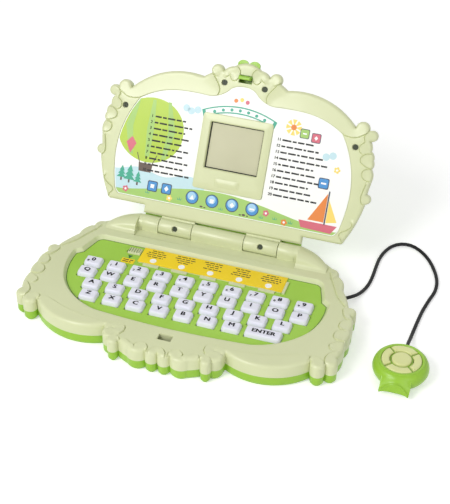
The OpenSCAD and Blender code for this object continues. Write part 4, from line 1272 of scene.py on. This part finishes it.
def draw_balloon(lay):
    turn = np.linspace(0, 2 * math.pi, 49)[:-1]
    c, s = np.cos(turn), np.sin(turn)
    lay("lime", np.stack([-82 + 32 * c, 72 + 29 * s - 3 * (s < 0)], 1), 2)
    for k in (-1, 0, 1):
        lay("lawn", [(-84 + 16 * k, 45.5), (-80 + 16 * k, 45.5), (-79 + 21 * k, 72),
                     (-81 + 15 * k, 99), (-84 + 15 * k, 99), (-86 + 21 * k, 72)], 3)
    lay("brown", [(-88, 31), (-76, 31), (-75, 39), (-89, 39)], 4)
    for x, reach in ((-88.2, -4), (-76.6, 4)):
        lay("brown", [(x, 38), (x + 0.8, 38), (x + 0.8 + reach, 48), (x + reach, 48)], 4)


def draw_boat_and_flowers(lay, put):
    """Pinwheel, sailing boat, kite, flowers and small clouds."""
    for k in range(8):
        a = k * math.pi / 4
        put("yellow", [polar(52, 97, 1.5, a), polar(52, 97, 7.5, a - 0.28),
                       polar(52, 97, 7.5, a + 0.28)], 2)
    put("orange", circle(52, 97, 2.6, 20), 3)
    lay("orange", [(79, 17), (94, 17), (94, 44)], 3)
    lay("yellow", [(96, 17), (106, 19), (96, 38)], 3)
    lay("rose", [(74, 9), (102, 8), (107, 15.5), (71, 15.5)], 4)
    lay("navy", [(94.4, 15), (95.6, 15), (95.6, 46), (94.4, 46)], 4)
    put("rose", [(-104, 56), (-99, 62), (-94, 56), (-99, 46)], 4)
    for x, v, colour in ((40, 15, "rose"), (58, 10, "orange"), (-98, 12, "rose"),
                         (-54, 11, "yellow"), (98, 66, "yellow")):
        for k in range(5):
            put(colour, circle(*polar(x, v, 1.9, k * 2 * math.pi / 5), 1.2, 12), 4)
        put("white", circle(x, v, 1.1, 12), 5)
    for x, v in ((-40, 97), (-46, 95), (-51, 97), (86, 76), (92, 78)):
        put("sky", circle(x, v, 3.4, 20), 1 if x < 0 else 2)


def draw_trees(put):
    """Fir trees by the water, pebbles and tufts along the foot."""
    for x, v, size in ((-104, 21, 1.0), (-96, 20, 1.25), (-87.5, 19, 0.9)):
        put("brown", rectangle(x - 0.8, x + 0.8, v - 2, v + 2), 4)
        for k in range(3):
            half, base = (4.6 - 1.1 * k) * size, v + 1 + 3.2 * k * size
            put("teal", [(x - half, base), (x + half, base), (x, base + 5 * size)], 5 + k)
    for x, v, size in ((-22, 9.2, 1.5), (-18.6, 8.8, 1), (16, 8.8, 1.2), (19.4, 9.2, 1.7),
                       (23, 8.8, 1)):
        put("brown", circle(x, v, size, 14) * (1, 0.6) + (0, 0.4 * v), 4)
    for x, v in ((-76, 11.5), (-44, 11), (-3, 9.4), (36, 9.3), (49, 10.5), (64, 9.6)):
        for k in (-1, 0, 1):
            root, tip = x + 1.2 * k, (x + 2.2 * k, v + 3.4 - abs(k))
            put("teal", [(root - 0.5, v), (root + 0.5, v), tip], 4)


def draw_ribbon(lay, put):
    """Dotted ribbon over the display, and three drops in the crest."""
    a = np.linspace(math.radians(68), math.radians(112), 25)
    for colour, low, high, turns, layer in (("teal", 105, 112, a, 2),
                                            ("white", 106.2, 110.8, a[1:-1], 3)):
        inner, outer = (np.stack([r * np.cos(turns) * 0.86, r * np.sin(turns) - 5.5], 1)
                        for r in (low, high))
        lay(colour, np.vstack([inner[::-1], outer]), layer)
    for x in range(-24, 25, 8):
        put("teal", circle(x, 103 - abs(x) * abs(x) * 0.0078, 1.5, 14), 4)
    for k, colour in ((-1, "orange"), (0, "yellow"), (1, "rose")):
        put(colour, circle(5.5 * k, 113 - abs(k) * 1.5, 1.9, 16), 3)


def draw_badges(put):
    """Round badges along the foot, square ones at the sides and beside the pinwheel."""

    def tile(x, v, colour, mark, outer, inner, scale=1):
        for c, (half, r), layer in (("navy", outer, 3), (colour, inner, 5)):
            put(c, rectangle(x - half, x + half, v - half, v + half, r), layer)
        put("white", np.array(MARKS[mark]) * scale + (x, v), 7)

    for i, x in enumerate((-32, -12.5, 7, 26.5)):
        put("navy", circle(x, 16, 6.3, 36), 3)
        put("blue", circle(x, 16, 5.5, 36), 5)
        put("pale_blue", circle(x - 0.5, 17.2, 3.9, 30), 6)
        put("white", np.array(MARKS[i]) + (x, 16), 8)
    for i, (x, v) in enumerate(((-72, 19), (-58, 19), (88, 52))):
        tile(x, v, "blue", i + 1, (5, 1.6), (4.2, 1.3))
    tile(63, 93.1, "lawn", 3, (4.4, 1.4), (3.8, 1.2), 0.8)
    tile(74, 90.9, "rose", 2, (4.4, 1.4), (3.8, 1.2), 0.8)


def make_numbers(mat):
    place = lid_matrix()
    z = RECESS_W + 0.5
    for k in range(2 * LINES):
        side, row = divmod(k, LINES)
        spot = ((-82.5, 40.5)[side], LINE_TOP - LINE_PITCH * row + LID_V, z - PRINT_SINK)
        mark = lettering(f"line_number_{k + 1}", str(k + 1), spot, 2.8, mat["ink"], thick=0.26,
                         bold=0.25)
        mark.data.transform(place)
        stands_for(mark, "lid", "print")


# ---- latch, mouse and the rest ---------------------------------------------------------------


# Share of their CAD width that the hinge covers keep
COVER_WIDTH = 0.975


def make_small_parts(mat):
    softened("latch", "latch_tab", "latch", "bright_shell", mat["bright"], 0.5)
    covers = softened("hinge_covers", "covers", "lid", "pale_shell", mat["pale"], 0.4)
    for v in covers.data.vertices:
        middle = math.copysign(ARM_X * MM, v.co.x)
        v.co.x = middle + (v.co.x - middle) * COVER_WIDTH


MOUSE = (194.2, -110.0)
# Radius and height from the pads' well over the lip and the dome down to the seam
DOME = [(0, 13.9), (17.3, 13.9), (17.3, 18.0), (17.6, 18.35), (18.6, 18.5), (19.5, 18.3),
        (19.8, 17.6), (20.4, 17.35), (21.4, 16.7), (22.6, 15.2), (23.5, 13.0), (23.95, 10.8),
        (23.8, 8.8), (23.2, 7.1), (0, 7.1)]
# The same from the seam down to the desk
FOOT = [(0, 7.05), (22.9, 7.05), (22.2, 5.2), (20.6, 3.0), (18.6, 1.4), (16.4, 0.5), (15.4, 0.15),
        (0, 0.15)]
# The tail from the lip to the crease, at its middle and at its side edge: y, height
TAIL_MIDDLE = [(-18.4, 16.6), (-20, 17.2), (-21.4, 16.7), (-22.8, 15.4), (-24.4, 13.3),
               (-25.6, 12.6), (-26.3, 12.8)]
TAIL_SIDE = [(-16, 16.4), (-18, 15.2), (-20, 13.3), (-23, 10.3), (-26, 7.2), (-28, 5.7),
             (-29.4, 5.3)]
TAIL_FOOT = np.array([(-27.4, 3.9), (-29.7, 3.8)])
TAIL_HALF = 12.6
# Radii and heights of the ribs between the buttons
PAD_MIDDLE, PAD_RING, PAD_GAP = 8.6, 17.3, 1.2
RIB_LOW, RIB_TOP = 13.8, 17.2


def lathe(profile, centre, n=96):
    """Closed skin turned from (radius, height) pairs; a zero radius closes an end."""
    verts, faces, rows = [], [], []
    for r, z in profile:
        ring = circle(*centre, max(r, 0), 1 if r == 0 else n)
        rows.append([len(verts)] * n if r == 0 else list(range(len(verts), len(verts) + n)))
        verts += at_z(ring, z)
    for a, b in zip(rows, rows[1:]):
        for i in range(n):
            loop = [a[i - 1], a[i], b[i], b[i - 1]]
            faces.append(tuple(q for k, q in enumerate(loop) if q != loop[k - 1])[::-1])
    return verts, faces


def make_tail(mat):
    """Flared tail that comes out of the dome, ends in a curved crease and has two low tips."""
    middle, side = through(TAIL_MIDDLE, 4), through(TAIL_SIDE, 4)
    rings = []
    across = [(x, 0) for x in np.linspace(0.5 - TAIL_HALF, TAIL_HALF - 0.5, 37)]
    for x, shrink in [(-TAIL_HALF, 0.5)] + across + [(TAIL_HALF, 0.5)]:
        u = min(1, abs(x) / (TAIL_HALF - 0.5))
        top = middle + (side - middle) * np.array([u**4, u**2])
        foot = TAIL_FOOT[0] + (TAIL_FOOT[1] - TAIL_FOOT[0]) * (u**4, u**2)
        crease = top[-1]
        face = [crease + (-0.35, -0.35), crease + (foot - crease) * 0.3,
                crease + (foot - crease) * 0.7, foot + (0.05, 0.6), foot + (0.5, 0)]
        section = np.vstack([top[:-1], crease + (0.2, 0.1), face, [(-19, 5.6), (-18.4, 9)]])
        centre = section.mean(0)
        off = section - centre
        section = centre + off * (1 - shrink / np.linalg.norm(off, axis=1)[:, None])
        rings.append([(x + MOUSE[0], y + MOUSE[1], z) for y, z in section])
    obj = make_object("mouse_tail", *rings_mesh(rings), mat["bright"], sharp=50)
    stands_for(obj, "base", "bright_shell", "mouse_top")


def make_ribs(mat):
    """Walls that fill most of the gaps between the mouse's buttons."""
    turn = np.linspace(0, 2 * math.pi, 65)[:-1]
    rings = []
    for r, z in ((PAD_MIDDLE + 0.2, RIB_LOW), (PAD_MIDDLE + 0.2, RIB_TOP),
                 (PAD_MIDDLE + PAD_GAP - 0.2, RIB_TOP), (PAD_MIDDLE + PAD_GAP - 0.2, RIB_LOW)):
        rings.append([(MOUSE[0] + r * math.cos(t), MOUSE[1] + r * math.sin(t), z) for t in turn])
    rings.append(rings[0])
    parts = [rings_mesh(rings, cap_start=False, cap_end=False)]
    half = PAD_GAP / 2 - 0.2
    for k in range(4):
        a = math.radians(45 + 90 * k)
        along = np.array([math.cos(a), math.sin(a)])
        across = np.array([-math.sin(a), math.cos(a)])
        corners = [along * r + across * w for r, w in ((PAD_MIDDLE + 0.8, -half), (PAD_RING, -half),
                                                       (PAD_RING, half), (PAD_MIDDLE + 0.8, half))]
        parts.append(prism(np.array(corners) + MOUSE, RIB_LOW, RIB_TOP))
    obj = weld(make_object("mouse_ribs", *joined(parts), mat["bright"]))
    stands_for(obj, "base", "bright_shell", "mouse_top")


def pad_outline(turn):
    """Ring-shaped button with parallel gaps to its neighbours, turned about the mouse's middle."""
    half = PAD_GAP / 2 + 0.3
    outer, inner = PAD_RING - 0.35, PAD_MIDDLE + PAD_GAP + 0.35
    points = []
    for r, way in ((outer, 1), (inner, -1)):
        reach = math.pi / 4 - math.asin(half / r)
        points += [polar(0, 0, r, a) for a in np.linspace(-way * reach, way * reach, 25)]
    c, s = math.cos(turn), math.sin(turn)
    return dense(np.array(points) @ np.array([[c, s], [-s, c]]), 0.9)


def make_pad(name, loop, mat):
    node = "mouse_button_" + name
    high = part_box(node)[1].z / MM
    levels = [(0, high - 4), (0, high - 1.3), (0.12, high - 0.8), (0.45, high - 0.35),
              (0.95, high - 0.1), (1.5, high)]
    rings = [at_z(inset(loop, d) + MOUSE, z) for d, z in levels]
    parts = [rings_mesh(rings, cap_start=False, cap_end=False),
             flat(loop + MOUSE, [], high - 4, up=False, grid=3),
             flat(inset(loop, levels[-1][0]) + MOUSE, [], high, up=True, grid=3)]
    obj = weld(make_object("pad_" + name, *joined(parts), mat["pad"]))
    stands_for(obj, node, "pad_plastic", node)


def make_mouse(mat):
    for name, profile, node in (("mouse_dome", DOME, "mouse_top"),
                                ("mouse_foot", FOOT, "mouse_bottom")):
        obj = make_object(name, *lathe(profile, MOUSE), mat["bright"])
        stands_for(obj, "base", "bright_shell", node)
    make_tail(mat)
    make_ribs(mat)
    for k, name in enumerate(("right", "back", "left", "front")):
        make_pad(name, pad_outline(math.radians(90 * k)), mat)
    make_pad("middle", circle(0, 0, PAD_MIDDLE - 0.2, 64), mat)


# ---- floor and light ---------------------------------------------------------------------------

WHITE = (1, 1, 1, 1)
FLOOR_GLOW = 0.38
WORLD_LIGHT = 0.49


def seen_directly(nt):
    """Socket that is 1 for camera, glossy and transmission rays."""
    path = new_node(nt, "LightPath")
    total = path.outputs["Is Camera Ray"]
    for ray in ("Is Glossy Ray", "Is Transmission Ray"):
        add = new_node(nt, "Math")
        add.operation = "ADD"
        add.use_clamp = True
        nt.links.new(total, add.inputs[0])
        nt.links.new(path.outputs[ray], add.inputs[1])
        total = add.outputs[0]
    return total


def make_stage():
    mesh = bpy.data.meshes.new("floor")
    s = 6
    mesh.from_pydata([(-s, -s, 0), (s, -s, 0), (s, s, 0), (-s, s, 0)], [], [(0, 1, 2, 3)])
    obj = added("floor", mesh)
    obj.location.z = -0.0002
    m = bpy.data.materials.new("floor_paper")
    m.use_nodes = True
    nt = m.node_tree
    bsdf = nt.nodes["Principled BSDF"]
    for name, value in (("Base Color", (0.9, 0.9, 0.9, 1)), ("Roughness", 0.85),
                        ("Specular IOR Level", 0.15), ("Emission Color", WHITE)):
        bsdf.inputs[name].default_value = value
    glow = new_node(nt, "Math")
    glow.operation = "MULTIPLY"
    glow.inputs[1].default_value = FLOOR_GLOW
    nt.links.new(seen_directly(nt), glow.inputs[0])
    nt.links.new(glow.outputs[0], bsdf.inputs["Emission Strength"])
    mesh.materials.append(m)


def make_world():
    world = bpy.data.worlds.new("studio")
    bpy.context.scene.world = world
    world.use_nodes = True
    nt = world.node_tree
    nt.nodes.clear()
    out = new_node(nt, "OutputWorld")
    lit = new_node(nt, "Background", Color=WHITE, Strength=WORLD_LIGHT)
    seen = new_node(nt, "Background", Color=WHITE, Strength=1.0)
    mix = new_node(nt, "MixShader")
    for source, target in ((seen_directly(nt), mix.inputs[0]), (lit.outputs[0], mix.inputs[1]),
                           (seen.outputs[0], mix.inputs[2]), (mix.outputs[0], out.inputs[0])):
        nt.links.new(source, target)


def area_light(name, place, target, size, energy):
    data = bpy.data.lights.new(name, "AREA")
    data.shape = "DISK"
    data.size = size
    data.energy = energy
    obj = added(name, data)
    obj.location = place
    obj.rotation_euler = (Vector(target) - Vector(place)).to_track_quat("-Z", "Y").to_euler()


def make_lights():
    make_world()
    area_light("key_light", (-0.6, -1.2, 1.15), (0, -0.05, 0.03), 0.8, 14.5)
    area_light("fill_light", (1.0, -1.2, 0.8), (0.05, -0.05, 0.03), 0.9, 4)
    area_light("floor_light", (0.2, 2.2, 1.2), (0.15, 1.5, 0), 1.6, 6)


make_camera()
materials = make_materials()
make_cord(materials["cord"])
make_base_top(materials)
make_base_bottom(materials)
make_deck(materials)
for row in KEY_ROWS:
    for letter in row:
        make_key("key_" + letter, materials)
make_key("key_enter", materials)
make_lid_frame(materials)
make_lid_cover(materials)
make_screws(materials)
make_display(materials)
make_print(materials)
make_numbers(materials)
make_small_parts(materials)
make_mouse(materials)
make_stage()
make_lights()
bpy.context.scene.view_settings.view_transform = "Standard"
